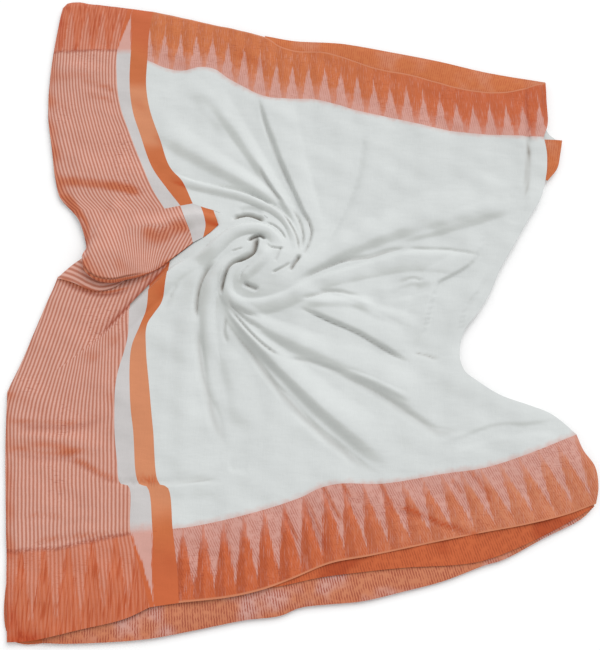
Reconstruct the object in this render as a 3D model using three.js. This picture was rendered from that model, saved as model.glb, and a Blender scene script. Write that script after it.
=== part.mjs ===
// A cotton saree, folded into a flat stack and twisted at its middle into a rosette.
// It lies on a surface: millimetres, +Z up, origin at the middle of its underside.
//
// The cloth is built as patches. Each patch has four sides, drawn as smooth curves
// through a few plan points, and a grid between them. The height of every point comes
// from one function, surface(), so that neighbouring patches meet at one level.

import * as THREE from 'three';

// ---------------------------------------------------------------- driving dimensions

const WALL = 1.5;             // thickness of a modelled layer of cloth
const SEAM_GAP = 0.3;         // space between two pieces at a seam
const LAYER_STEP = WALL + 0.8;   // one layer lying loosely on another
const STACK_TOP = 5.0;        // height of the hidden layers near the long edges
const UNDER_2_TOP = STACK_TOP + LAYER_STEP;
const UNDER_1_TOP = UNDER_2_TOP + LAYER_STEP;
const TOP_LEVEL = UNDER_1_TOP + LAYER_STEP;   // upper face of the top layer, where flat

const POCKET_LIFT = 2.4;      // the pocket's rise above the flap that it lies over

// The fold that rolls over: its height, the radius of its rolled edge as a share of the
// height there, the place of its crest, and how far it dips towards the rosette.
const LOBE = {
  height: 21, shoulder: 0.75, roll: 0.36, top: 0.3, crestLow: 0.03, crestHigh: 0.34, dip: 0.5,
};

// How far the cloth sinks at the outline: more at the pallu's end, where one layer lies
// free, than where several lie on each other.
const EDGE_DROP = { end: 5.5, layered: 2.0, width: 22 };
const END_ZONE = { from: -400, to: -370 };

const HUB = { x: -69, y: 28 };                // middle of the rosette
const MOUND = { height: 24, spread: 118 };    // the gathered cloth below it

const COLOURS = {
  pallu: { color: 0xcf8f7c, roughness: 0.85, metalness: 0 },
  margin: { color: 0xd9d6d6, roughness: 0.85, metalness: 0 },
  band: { color: 0xd4784a, roughness: 0.8, metalness: 0 },
  field: { color: 0xd6dad8, roughness: 0.85, metalness: 0 },
  border: { color: 0xcf6f42, roughness: 0.8, metalness: 0 },
  stack: { color: 0xc9b7ac, roughness: 0.9, metalness: 0 },
};

// ---------------------------------------------------------------- plan curves

// Each curve is a smooth line through plan points, as x, y in millimetres.
const CURVES = {
  // the pallu's end edge, from the fold line up to the top left corner
  endUpper: [[-390, 131], [-412, 156], [-424, 195], [-436, 255], [-448, 318], [-452, 395],
    [-450, 470], [-443, 549]],
  // stripes to plain margin, margin to band, band to body, in the upper left
  stripeUpper: [[-230, 132], [-252, 168], [-277, 224], [-299, 278], [-321, 339], [-331, 402],
    [-333, 456], [-320, 546]],
  bandLeftUpper: [[-203, 137], [-223, 172], [-250, 212], [-275, 278], [-293, 325],
    [-304, 380], [-308, 434], [-303, 543]],
  bandRightUpper: [[-182, 141], [-201, 182], [-226, 214], [-244, 264], [-267, 329],
    [-276, 380], [-277, 430]],
  bandRightTop: [[-277, 430], [-277, 485], [-273, 539]],
  topLeftCorner: [[-443, 549], [-434, 560], [-412, 562], [-370, 553], [-320, 546]],
  // the line where the upper left dips before the fold that rolls over
  dipPallu: [[-390, 131], [-310, 130], [-230, 132]],
  dipMargin: [[-230, 132], [-203, 137]],
  dipBand: [[-203, 137], [-182, 141]],
  // the rolled fold: its end at the outline, and its rolled lower edge
  lobeEnd: [[-360, 36], [-357, 52], [-364, 84], [-377, 115], [-390, 131]],
  lobeStripe: [[-178, 66], [-183, 85], [-194, 112], [-203, 137]],
  lobeBand: [[-161, 75], [-158, 98], [-162, 118], [-168, 135]],
  lobeRightLow: [[-148, 85], [-136, 98]],
  lobeRightHigh: [[-136, 98], [-146, 127]],
  lobeUnderBody: [[-216, 35], [-178, 66]],
  lobeMarginEdge: [[-178, 66], [-161, 75]],
  lobeBandEdge: [[-161, 75], [-148, 85]],
  dipMarginBody: [[-182, 141], [-168, 135]],
  dipBandBody: [[-168, 135], [-146, 127]],
  lobeRoll: [[-360, 36], [-355, 16], [-336, -1], [-309, -7], [-285, -1], [-249, 12],
    [-216, 35]],
  // the edge where the body lies over the pallu, from the border up to the rosette
  stripeLower: [[-218, -509], [-235, -457], [-253, -403], [-259, -339], [-276, -326],
    [-281, -295], [-288, -248], [-291, -167], [-278, -101], [-277, -72], [-278, -40]],
  bandLeftLower: [[-205, -507], [-212, -457], [-220, -401], [-231, -339], [-247, -326],
    [-259, -248], [-265, -214], [-271, -117], [-258, -75], [-249, -45], [-248, -5]],
  bandRightLower: [[-190, -398], [-200, -339], [-216, -326], [-228, -248], [-238, -180],
    [-247, -115], [-247, -75], [-226, -37], [-220, 0], [-216, 35]],
  bandRightBottom: [[-176, -503], [-181, -454], [-190, -398]],
  // the pallu's end edge below the pocket
  flapEnd: [[-464, -187], [-444, -130], [-424, -63], [-409, -14], [-402, 10]],
  flapTop: [[-402, 10], [-350, 3], [-300, -2], [-256, 14], [-216, 35]],
  overlapFlap: [[-464, -187], [-400, -160], [-339, -109], [-278, -40]],
  overlapMargin: [[-278, -40], [-248, -5]],
  overlapBand: [[-248, -5], [-216, 35]],
  endLower: [[-423, -557], [-440, -412], [-454, -300], [-464, -187]],
  bottomPallu: [[-423, -557], [-389, -555], [-319, -540], [-254, -525], [-218, -509]],
  pocketEnd: [[-402, 6], [-383, 25], [-362, 41]],
  pocketEdge: [[-402, 6], [-372, -4], [-350, -14], [-329, -18], [-305, -12], [-285, 4]],
  pocketTop: [[-362, 41], [-330, 26], [-290, 18]],
  pocketInner: [[-285, 4], [-290, 18]],
  // the body's outline at the right, from the bottom border up to the top border
  bodyRight: [[432, -255], [398, -224], [364, -209], [318, -192], [285, -170], [265, -154],
    [258, -134], [260, -109], [269, -84], [293, -53], [315, -19], [334, 21], [363, 69],
    [393, 119], [413, 151], [426, 190], [432, 236], [430, 272]],
  // the borders' inner lines and selvedges
  topInner: [[-277, 430], [-241, 414], [-208, 409], [-181, 416], [-154, 412], [-126, 391],
    [-62, 355], [1, 349], [28, 348], [117, 321], [179, 306], [249, 288], [301, 279],
    [430, 272]],
  topSelvedge: [[-273, 539], [-189, 517], [-110, 496], [-82, 488], [-57, 478], [-36, 461],
    [-10, 452], [56, 445], [137, 414], [209, 397], [289, 371], [365, 363], [444, 384]],
  topRightEnd: [[430, 272], [440, 300], [442, 345], [444, 384]],
  bottomInner: [[-190, -398], [-163, -395], [-76, -376], [1, -352], [33, -337], [64, -331],
    [127, -331], [221, -316], [284, -307], [349, -287], [432, -255]],
  bottomSelvedge: [[-176, -503], [-101, -495], [-55, -485], [-14, -471], [45, -448],
    [105, -437], [215, -415], [278, -403], [340, -392], [404, -377], [450, -361]],
  bottomRightEnd: [[450, -361], [457, -335], [455, -305], [440, -280], [432, -255]],
  // the layers below, where they show: outer edge first, then the edge that is covered
  underTopOuter: [[-64, 486], [-10, 475], [78, 469], [166, 451], [253, 431], [339, 407],
    [444, 386]],
  underTopInner: [[-60, 435], [0, 425], [120, 385], [250, 350], [420, 330]],
  underRightOuter: [[430, 188], [449, 212], [457, 240], [463, 267]],
  underRightInner: [[408, 198], [412, 268]],
  under2Outer: [[-372, -558], [-334, -559], [-223, -553], [-158, -542], [-79, -527],
    [-28, -521], [1, -510], [46, -505], [92, -501], [151, -488], [212, -473], [274, -451],
    [305, -442], [368, -411], [427, -383], [449, -364]],
  under2Inner: [[-368, -505], [-150, -470], [100, -400], [430, -330]],
  under1Outer: [[-360, -540], [-269, -516], [-159, -496], [-30, -480], [29, -468], [93, -460],
    [152, -454], [263, -446], [330, -424], [405, -389], [446, -366]],
  under1Inner: [[-355, -490], [-150, -455], [100, -385], [425, -325]],
};

// The whole outline of the stack, counter-clockwise from the bottom left corner.
const OUTLINE = [[-423, -558], [-334, -560], [-223, -554], [-158, -543], [-79, -528],
  [-28, -522], [1, -511], [46, -506], [92, -502], [151, -489], [212, -474], [274, -452],
  [305, -443], [368, -412], [427, -384], [452, -360], [459, -320], [456, -303],
  [444, -272], [420, -240], [398, -222], [364, -208], [318, -192], [285, -170],
  [265, -154], [257, -130], [260, -109], [269, -84], [293, -53], [315, -19], [334, 21],
  [363, 69], [393, 119], [413, 151], [428, 189], [450, 212], [458, 240], [464, 268],
  [445, 290], [446, 345], [446, 388], [424, 388], [339, 408], [253, 432], [166, 452],
  [78, 470], [-10, 476], [-99, 497], [-189, 517], [-279, 540], [-370, 554], [-412, 563],
  [-436, 561], [-445, 549], [-451, 470], [-453, 395], [-449, 318], [-437, 255],
  [-424, 189], [-412, 156], [-390, 131], [-377, 115], [-364, 84], [-356, 58],
  [-362, 39], [-383, 25], [-403, 8], [-409, -14], [-424, -63], [-446, -134],
  [-466, -187], [-455, -300], [-440, -415]];

// ---------------------------------------------------------------- folds

// Each fold runs through three plan points. Its width and its rise go evenly from the
// first end to the last, a rise below zero is a trough, and lean makes its left side
// steeper (above zero) or its right side steeper (below zero).
const FOLDS = [
  // above the rosette
  { from: [-233, 203], via: [-93, 154], to: [-1, 50], width: [14, 12], rise: [4, 8], lean: 0.3 },
  { from: [-250, 298], via: [-134, 210], to: [-19, 120], width: [34, 16], rise: [5, 7], lean: 0 },
  { from: [-197, 380], via: [-159, 333], to: [-122, 285], width: [26, 24], rise: [3, 3], lean: 0 },
  { from: [-170, 379], via: [-81, 233], to: [1, 84], width: [26, 14], rise: [4, 9], lean: 0 },
  { from: [-69, 364], via: [-27, 221], to: [19, 79], width: [34, 14], rise: [4, 9], lean: -0.6 },
  { from: [137, 309], via: [111, 165], to: [37, 40], width: [36, 20], rise: [6, 6], lean: -0.3 },
  // the coil of the rosette and the creases inside it
  { from: [-171, 31], via: [-102, 88], to: [-30, 53], width: [16, 14], rise: [9, 8], lean: 0.3 },
  { from: [-93, 30], via: [-119, 8], to: [-127, -28], width: [12, 12], rise: [-7, -8], lean: 0 },
  { from: [-58, 57], via: [-70, 20], to: [-95, -11], width: [16, 14], rise: [6, 4], lean: 0 },
  { from: [-104, 26], via: [-67, -46], to: [34, -1], width: [14, 16], rise: [6, 4], lean: 0 },
  // to the right of the rosette
  { from: [-23, -8], via: [157, 90], to: [352, 156], width: [16, 50], rise: [6, 9], lean: -0.3 },
  { from: [169, 74], via: [268, 104], to: [364, 142], width: [16, 24], rise: [4, 5], lean: -0.3 },
  { from: [1, -14], via: [146, 34], to: [298, 32], width: [14, 24], rise: [4, 5], lean: 0.4 },
  { from: [-2, -41], via: [88, -81], to: [174, -130], width: [20, 26], rise: [5, 6], lean: -0.6 },
  { from: [86, -35], via: [142, -58], to: [195, -86], width: [16, 20], rise: [3, 3], lean: 0 },
  { from: [303, 104], via: [237, 3], to: [188, -118], width: [18, 18], rise: [4, 5], lean: 0.6 },
  { from: [314, 34], via: [274, -41], to: [245, -122], width: [14, 14], rise: [3, 3], lean: 0.6 },
  { from: [353, 171], via: [372, 141], to: [360, 102], width: [20, 20], rise: [-3, -3], lean: 0 },
  // below the rosette
  { from: [-123, -37], via: [4, -181], to: [155, -298], width: [16, 40], rise: [9, 9], lean: -0.3 },
  { from: [-113, -31], via: [47, -128], to: [213, -220], width: [16, 44], rise: [7, 7], lean: 0 },
  { from: [-141, 29], via: [-164, -17], to: [-166, -69], width: [12, 12], rise: [-6, -6], lean: 0 },
  { from: [-104, 36], via: [-150, -52], to: [-136, -155], width: [16, 14], rise: [7, 3], lean: 0 },
  { from: [-125, -111], via: [-100, -178], to: [-83, -248], width: [24, 30], rise: [4, 3], lean: 0 },
  { from: [-189, -34], via: [-181, -157], to: [-181, -280], width: [24, 34], rise: [4, 3], lean: 0 },
  { from: [218, -275], via: [311, -247], to: [408, -239], width: [16, 16], rise: [-3, -3], lean: 0 },
  // the body's edge over the pallu, and the pallu's own soft folds
  { from: [-175, 42], via: [-273, -48], to: [-370, -139], width: [16, 14], rise: [9, 2], lean: -0.6 },
  { from: [-420, 211], via: [-336, 195], to: [-254, 172], width: [46, 40], rise: [8, 8], lean: -0.4 },
  { from: [-307, 148], via: [-327, 109], to: [-345, 69], width: [20, 18], rise: [4, 5], lean: -0.4 },
  { from: [-440, 345], via: [-380, 335], to: [-300, 345], width: [40, 34], rise: [4, 3], lean: 0 },
  { from: [-452, -300], via: [-345, -296], to: [-262, -332], width: [16, 14], rise: [-3, -3], lean: 0 },
];

const FOLD_STEPS = 16;

// ---------------------------------------------------------------- small helpers

const clamp = (value, low, high) => Math.min(Math.max(value, low), high);
const mix = (a, b, t) => a + (b - a) * t;

function smoothStep(low, high, value) {
  const t = clamp((value - low) / (high - low), 0, 1);
  return t * t * (3 - 2 * t);
}

// A function of the share of its length, from 0 to 1, along a curve through plan points.
function curveThrough(points) {
  if (points.length === 2) {
    const [a, b] = points;
    return (share) => [mix(a[0], b[0], share), mix(a[1], b[1], share)];
  }
  const line = new THREE.CatmullRomCurve3(
    points.map(([x, y]) => new THREE.Vector3(x, y, 0)), false, 'centripetal');
  return (share) => {
    const p = line.getPointAt(share);
    return [p.x, p.y];
  };
}

const curves = Object.fromEntries(
  Object.entries(CURVES).map(([name, points]) => [name, curveThrough(points)]));

// Shares from 0 to 1: even, closer together near the start or the end, or near a middle.
const evenShares = (count) => Array.from({ length: count + 1 }, (_, i) => i / count);
const startShares = (count, power) => evenShares(count).map((t) => t ** power);
const endShares = (count, power) => evenShares(count).map((t) => 1 - (1 - t) ** power);

function middleShares(count, middle, spread, crowding) {
  const pull = (t) => t + crowding * spread * Math.atan((t - middle) / spread);
  const low = pull(0);
  const range = pull(1) - low;
  return evenShares(count).map((target) => {
    let [a, b] = [0, 1];
    for (let step = 0; step < 40; step += 1) {
      const t = (a + b) / 2;
      if ((pull(t) - low) / range < target) a = t; else b = t;
    }
    return target === 0 || target === 1 ? target : (a + b) / 2;
  });
}

// Points along a curve, at even steps or at given shares of its length.
const stations = (curve, steps) => (
  Array.isArray(steps) ? steps : evenShares(steps)).map((share) => curve(share));

// Several runs of stations joined end to end, without the doubled points.
function joined(...runs) {
  return runs.reduce((all, run) => (all.length ? [...all, ...run.slice(1)] : [...run]), []);
}

// ---------------------------------------------------------------- heights

// A fold's centre line as short steps, each with its direction.
function foldLine({ from, via, to }) {
  const bend = [2 * via[0] - (from[0] + to[0]) / 2, 2 * via[1] - (from[1] + to[1]) / 2];
  const at = (t) => [0, 1].map((axis) => (1 - t) * (1 - t) * from[axis]
    + 2 * t * (1 - t) * bend[axis] + t * t * to[axis]);
  return Array.from({ length: FOLD_STEPS + 1 }, (_, i) => at(i / FOLD_STEPS));
}

const foldLines = FOLDS.map((fold) => ({ ...fold, line: foldLine(fold) }));

// The nearest place on a line of points: how far along, and how far to its left.
function nearestOnLine(line, x, y) {
  let best = { along: 0, side: 0, distance: Infinity };
  for (let i = 0; i + 1 < line.length; i += 1) {
    const [ax, ay] = line[i];
    const dx = line[i + 1][0] - ax;
    const dy = line[i + 1][1] - ay;
    const t = clamp(((x - ax) * dx + (y - ay) * dy) / (dx * dx + dy * dy), 0, 1);
    const distance = Math.hypot(x - ax - t * dx, y - ay - t * dy);
    if (distance < best.distance) {
      const left = dx * (y - ay) - dy * (x - ax) >= 0 ? 1 : -1;
      best = { along: (i + t) / (line.length - 1), side: left, distance };
    }
  }
  return best;
}

const FOLD_FADE = 0.22;   // share of a fold's length over which each end fades

function foldRise(fold, x, y) {
  const { along, side, distance } = nearestOnLine(fold.line, x, y);
  const width = mix(fold.width[0], fold.width[1], along) * (1 - side * fold.lean);
  if (distance >= width) {
    return 0;
  }
  const across = 1 - (distance / width) ** 2;
  const ends = smoothStep(-0.02, FOLD_FADE, along) * smoothStep(-0.02, FOLD_FADE, 1 - along);
  return mix(fold.rise[0], fold.rise[1], along) * across * across * ends;
}

const closedOutline = [...OUTLINE, OUTLINE[0]];

function edgeDrop(x, y) {
  const { distance } = nearestOnLine(closedOutline, x, y);
  const drop = mix(EDGE_DROP.end, EDGE_DROP.layered, smoothStep(END_ZONE.from, END_ZONE.to, x));
  return drop * (1 - Math.min(distance / EDGE_DROP.width, 1)) ** 2;
}

function mound(x, y) {
  const reach = Math.hypot(x - HUB.x, y - HUB.y) / MOUND.spread;
  return MOUND.height * Math.exp(-reach * reach * 1.6);
}

// The height of the top layer's upper face.
function surface(x, y) {
  const folds = foldLines.reduce((sum, fold) => sum + foldRise(fold, x, y), 0);
  const relief = mound(x, y) + folds;
  return TOP_LEVEL + Math.max(relief, 0) - edgeDrop(x, y);
}

// ---------------------------------------------------------------- solids

// A closed body from a grid of outer points and a grid of inner points.
function shellMesh(name, look, outer, inner) {
  const rows = outer.length;
  const columns = outer[0].length;
  const positions = [...outer.flat(), ...inner.flat()].flat();
  const top = (i, j) => i * columns + j;
  const under = (i, j) => rows * columns + i * columns + j;
  const faces = [];
  const quad = (a, b, c, d) => faces.push(a, b, c, a, c, d);
  for (let i = 0; i + 1 < rows; i += 1) {
    for (let j = 0; j + 1 < columns; j += 1) {
      quad(top(i, j), top(i, j + 1), top(i + 1, j + 1), top(i + 1, j));
      quad(under(i, j), under(i + 1, j), under(i + 1, j + 1), under(i, j + 1));
    }
  }
  for (let j = 0; j + 1 < columns; j += 1) {
    const last = rows - 1;
    quad(under(0, j), under(0, j + 1), top(0, j + 1), top(0, j));
    quad(top(last, j), top(last, j + 1), under(last, j + 1), under(last, j));
  }
  for (let i = 0; i + 1 < rows; i += 1) {
    const last = columns - 1;
    quad(top(i, 0), top(i + 1, 0), under(i + 1, 0), under(i, 0));
    quad(under(i, last), under(i + 1, last), top(i + 1, last), top(i, last));
  }
  return meshOf(name, look, positions, faces);
}

function meshOf(name, look, positions, faces) {
  const geometry = new THREE.BufferGeometry();
  geometry.setAttribute('position', new THREE.Float32BufferAttribute(positions, 3));
  geometry.setIndex(faces);
  geometry.computeVertexNormals();
  const mesh = new THREE.Mesh(geometry, new THREE.MeshStandardMaterial(COLOURS[look]));
  mesh.name = name;
  return mesh;
}

// The plan grid between four sides: bottom and top run left to right, the others upwards.
function planGrid({ left, right, bottom, top }) {
  const rows = left.length;
  const columns = bottom.length;
  const grid = [];
  for (let i = 0; i < rows; i += 1) {
    const v = i / (rows - 1);
    const row = [];
    for (let j = 0; j < columns; j += 1) {
      const u = j / (columns - 1);
      row.push([0, 1].map((axis) => {
        const across = mix(left[i][axis], right[i][axis], u);
        const up = mix(bottom[j][axis], top[j][axis], v);
        const corners = mix(
          mix(bottom[0][axis], bottom[columns - 1][axis], u),
          mix(top[0][axis], top[columns - 1][axis], u), v);
        return across + up - corners;
      }));
    }
    grid.push(row);
  }
  return insetGrid(grid);
}

// Draws the outer rows and columns in by half a seam gap.
function insetGrid(grid) {
  const rows = grid.length;
  const columns = grid[0].length;
  const pull = (point, towards) => {
    const dx = towards[0] - point[0];
    const dy = towards[1] - point[1];
    const share = (SEAM_GAP / 2) / Math.hypot(dx, dy);
    return [dx * share, dy * share];
  };
  return grid.map((row, i) => row.map((point, j) => {
    const moves = [];
    if (i === 0) moves.push(pull(point, grid[1][j]));
    if (i === rows - 1) moves.push(pull(point, grid[rows - 2][j]));
    if (j === 0) moves.push(pull(point, grid[i][1]));
    if (j === columns - 1) moves.push(pull(point, grid[i][columns - 2]));
    return moves.reduce(([x, y], [dx, dy]) => [x + dx, y + dy], point);
  }));
}

// A layer of cloth over a plan grid, with its upper face at a height function.
function clothPatch(name, look, sides, height = surface) {
  const grid = planGrid(sides);
  const outer = grid.map((row) => row.map(([x, y]) => [x, y, height(x, y)]));
  const inner = outer.map((row) => row.map(([x, y, z]) => [x, y, z - WALL]));
  return shellMesh(name, look, outer, inner);
}

const TO_MIDDLE = [0.5, -1.6, 0];   // brings the middle of the underside to the origin

const part = new THREE.Group();
part.position.set(...TO_MIDDLE);

// ---------------------------------------------------------------- the pallu and band

const ROWS = { upper: 12, lower: 15, border: 2, lobe: 6, flap: 7, pocket: 3 };
const COLUMNS = { pallu: 10, margin: 1, band: 1, body: 38, lobe: 10, pocket: 6 };

// The rows crowd together towards the rosette.
const UPPER_SHARES = startShares(ROWS.upper, 1.35);
const LOWER_SHARES = endShares(ROWS.lower, 1.45);
const upperTotal = startShares(ROWS.upper + ROWS.border, 1.2);
const lowerTotal = endShares(ROWS.lower + ROWS.border, 1.3);

const upperSides = {
  end: stations(curves.endUpper, upperTotal),
  stripe: stations(curves.stripeUpper, upperTotal),
  bandLeft: stations(curves.bandLeftUpper, upperTotal),
  bandRight: joined(
    stations(curves.bandRightUpper, UPPER_SHARES), stations(curves.bandRightTop, ROWS.border)),
};

part.add(clothPatch('pallu_upper', 'pallu', {
  left: upperSides.end,
  right: upperSides.stripe,
  bottom: stations(curves.dipPallu, COLUMNS.pallu),
  top: stations(curves.topLeftCorner, COLUMNS.pallu),
}));

part.add(clothPatch('margin_upper', 'margin', {
  left: upperSides.stripe,
  right: upperSides.bandLeft,
  bottom: stations(curves.dipMargin, COLUMNS.margin),
  top: [upperSides.stripe.at(-1), upperSides.bandLeft.at(-1)],
}));

part.add(clothPatch('band_upper', 'band', {
  left: upperSides.bandLeft,
  right: upperSides.bandRight,
  bottom: stations(curves.dipBand, COLUMNS.band),
  top: [upperSides.bandLeft.at(-1), upperSides.bandRight.at(-1)],
}));

const lowerSides = {
  end: stations(curves.endLower, lowerTotal),
  stripe: stations(curves.stripeLower, lowerTotal),
  bandLeft: stations(curves.bandLeftLower, lowerTotal),
  bandRight: joined(
    stations(curves.bandRightBottom, ROWS.border), stations(curves.bandRightLower, LOWER_SHARES)),
};

part.add(clothPatch('pallu_lower', 'pallu', {
  left: lowerSides.end,
  right: lowerSides.stripe,
  bottom: stations(curves.bottomPallu, COLUMNS.pallu),
  top: stations(curves.overlapFlap, COLUMNS.pallu),
}));

part.add(clothPatch('margin_lower', 'margin', {
  left: lowerSides.stripe,
  right: lowerSides.bandLeft,
  bottom: [lowerSides.stripe[0], lowerSides.bandLeft[0]],
  top: stations(curves.overlapMargin, COLUMNS.margin),
}));

part.add(clothPatch('band_lower', 'band', {
  left: lowerSides.bandLeft,
  right: lowerSides.bandRight,
  bottom: [lowerSides.bandLeft[0], lowerSides.bandRight[0]],
  top: stations(curves.overlapBand, COLUMNS.band),
}));

part.add(clothPatch('pallu_flap', 'pallu', {
  left: stations(curves.flapEnd, ROWS.flap),
  right: joined(stations(curves.overlapMargin, 3), stations(curves.overlapBand, ROWS.flap - 3)),
  bottom: stations(curves.overlapFlap, COLUMNS.pallu),
  top: stations(curves.flapTop, COLUMNS.pallu),
}));

part.add(clothPatch('pallu_pocket', 'pallu', {
  left: stations(curves.pocketEnd, ROWS.pocket),
  right: stations(curves.pocketInner, ROWS.pocket),
  bottom: stations(curves.pocketEdge, COLUMNS.pocket),
  top: stations(curves.pocketTop, COLUMNS.pocket),
}, (x, y) => surface(x, y) + POCKET_LIFT));

// ---------------------------------------------------------------- the rolled fold

// How far the rolled fold stands above the layer it came from: it rises from the
// outline to a slanting crest, and dips towards the rosette.
function lobeSwell(across, up) {
  const crest = mix(LOBE.crestLow, LOBE.crestHigh, up);
  const fromEnd = mix(1, smoothStep(0, crest, across), smoothStep(0, LOBE.top, up));
  const toRosette = 1 - LOBE.dip * smoothStep(0.5, 1, across);
  const section = up < LOBE.top
    ? mix(LOBE.shoulder, 1, Math.sin((up / LOBE.top) * Math.PI / 2))
    : 1 - smoothStep(LOBE.top, 1, up);
  return LOBE.height * fromEnd * toRosette * section;
}

const ROLL_ANGLES = [-110, -65, -20, 30, 90].map(THREE.MathUtils.degToRad);

// One stretch of the rolled fold, between two shares of its whole breadth. Its lower
// edge turns under, around a centre line just inside its lower side.
function lobePatch(name, look, sides, from, to) {
  const grid = planGrid(sides);
  const lastRow = grid.length - 1;
  const lastColumn = grid[0].length - 1;
  const across = (j) => mix(from, to, j / lastColumn);
  const edge = grid[0].map(([x, y], j) => {
    const [nextX, nextY] = grid[1][j];
    const length = Math.hypot(nextX - x, nextY - y);
    const inward = [(nextX - x) / length, (nextY - y) / length];
    const swell = lobeSwell(across(j), 0);
    const radius = LOBE.roll * swell;
    const centre = [x + inward[0] * radius, y + inward[1] * radius,
      surface(x, y) + swell - radius];
    return { inward, radius, centre };
  });
  const ring = (angle, depth) => edge.map(({ inward, radius, centre }) => {
    const out = (radius - depth) * Math.cos(angle);
    return [centre[0] - inward[0] * out, centre[1] - inward[1] * out,
      centre[2] + (radius - depth) * Math.sin(angle)];
  });
  const sheet = (depth) => grid.slice(1).map((row, i) => row.map(([x, y], j) => [
    x, y, surface(x, y) + lobeSwell(across(j), (i + 1) / lastRow) - depth]));
  const layer = (depth) => [...ROLL_ANGLES.map((angle) => ring(angle, depth)), ...sheet(depth)];
  return shellMesh(name, look, layer(0), layer(WALL));
}

const LOBE_BREADTH = { stripe: 0.76, band: 0.91 };   // shares where the weave changes

const lobeStripe = stations(curves.lobeStripe, ROWS.lobe);
const lobeBand = stations(curves.lobeBand, ROWS.lobe);
const lobeUnderBody = stations(curves.lobeUnderBody, 2);

part.add(lobePatch('pallu_lobe', 'pallu', {
  left: stations(curves.lobeEnd, ROWS.lobe),
  right: lobeStripe,
  bottom: joined(stations(curves.lobeRoll, COLUMNS.lobe), lobeUnderBody),
  top: joined(stations(curves.dipPallu, COLUMNS.lobe), stations(curves.dipMargin, 2)),
}, 0, LOBE_BREADTH.stripe));

part.add(lobePatch('margin_lobe', 'margin', {
  left: lobeStripe,
  right: lobeBand,
  bottom: stations(curves.lobeMarginEdge, 2),
  top: joined(stations(curves.dipBand, 1), stations(curves.dipMarginBody, 1)),
}, LOBE_BREADTH.stripe, LOBE_BREADTH.band));

part.add(lobePatch('band_lobe', 'band', {
  left: lobeBand,
  right: joined(stations(curves.lobeRightLow, 3), stations(curves.lobeRightHigh, ROWS.lobe - 3)),
  bottom: stations(curves.lobeBandEdge, 1),
  top: stations(curves.dipBandBody, 1),
}, LOBE_BREADTH.band, 1));

// ---------------------------------------------------------------- the white body

const bodyLeft = joined(
  stations(curves.bandRightLower, LOWER_SHARES),
  lobeUnderBody,
  stations(curves.lobeMarginEdge, 1),
  stations(curves.lobeBandEdge, 1),
  stations(curves.lobeRightLow, 1),
  stations(curves.lobeRightHigh, 1),
  [curves.dipBandBody(1), curves.dipBandBody(0)],
  [curves.dipMarginBody(1), curves.dipMarginBody(0)],
  stations(curves.bandRightUpper, UPPER_SHARES),
);
const bodyColumns = middleShares(COLUMNS.body, 0.25, 0.16, 1.9);
const topInner = stations(curves.topInner, bodyColumns);
const bottomInner = stations(curves.bottomInner, bodyColumns);
const bodyRows = middleShares(bodyLeft.length - 1, 0.5, 0.3, 0.3);

part.add(clothPatch('field', 'field', {
  left: bodyLeft,
  right: stations(curves.bodyRight, bodyRows),
  bottom: bottomInner,
  top: topInner,
}));

part.add(clothPatch('border_top', 'border', {
  left: stations(curves.bandRightTop, ROWS.border),
  right: stations(curves.topRightEnd, ROWS.border),
  bottom: topInner,
  top: stations(curves.topSelvedge, bodyColumns),
}));

part.add(clothPatch('border_bottom', 'border', {
  left: stations(curves.bandRightBottom, ROWS.border),
  right: stations(curves.bottomRightEnd, ROWS.border),
  bottom: stations(curves.bottomSelvedge, bodyColumns),
  top: bottomInner,
}));

// ---------------------------------------------------------------- the layers below

// A strip of a lower layer, between its outer edge and the edge that is covered.
function underStrip(name, level, outer, inner, columns, upwards) {
  const first = stations(curves[outer], columns);
  const second = stations(curves[inner], columns);
  const [bottom, top] = upwards ? [second, first] : [first, second];
  const side = (from, to) => stations(curveThrough([from, to]), 2);
  return clothPatch(name, 'border', {
    left: side(bottom[0], top[0]),
    right: side(bottom.at(-1), top.at(-1)),
    bottom,
    top,
  }, (x, y) => level - edgeDrop(x, y));
}

part.add(underStrip('under_top', UNDER_1_TOP, 'underTopOuter', 'underTopInner', 20, true));
part.add(underStrip('under_bottom_1', UNDER_1_TOP, 'under1Outer', 'under1Inner', 26, false));
part.add(underStrip('under_bottom_2', UNDER_2_TOP, 'under2Outer', 'under2Inner', 26, false));

part.add(clothPatch('under_right', 'border', {
  left: stations(curves.underRightInner, 3),
  right: stations(curves.underRightOuter, 3),
  bottom: [curves.underRightInner(0), curves.underRightOuter(0)],
  top: [curves.underRightInner(1), curves.underRightOuter(1)],
}, (x, y) => UNDER_1_TOP - edgeDrop(x, y)));

// ---------------------------------------------------------------- the hidden layers

// The rim of the hidden stack, from its flat underside up over the lips of its folded
// layers to its top: how far inside the outline each ring lies, and its height.
const RIM = [
  { inset: 16, height: 0 }, { inset: 11, height: 0.3 }, { inset: 10, height: 1.0 },
  { inset: 12, height: 1.5 }, { inset: 10, height: 2.0 }, { inset: 10, height: 2.6 },
  { inset: 12, height: 3.0 }, { inset: 11, height: 3.4 }, { inset: 14, height: 4.0 },
  { inset: 34, height: 4.9 }, { inset: 122, height: 4.9 }, { inset: 138, height: 9.0 },
];
// The gathered layers under the rosette: rings around its middle.
const HEAP = [
  { radius: 145, height: 9.2 }, { radius: 105, height: 9.8 }, { radius: 70, height: 13 },
  { radius: 40, height: 18 }, { radius: 16, height: 21 },
];
const STACK_MIDDLE = { x: -20, y: -80 };   // every rim point is in sight of it
const RIM_STATIONS = 76;

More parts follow.
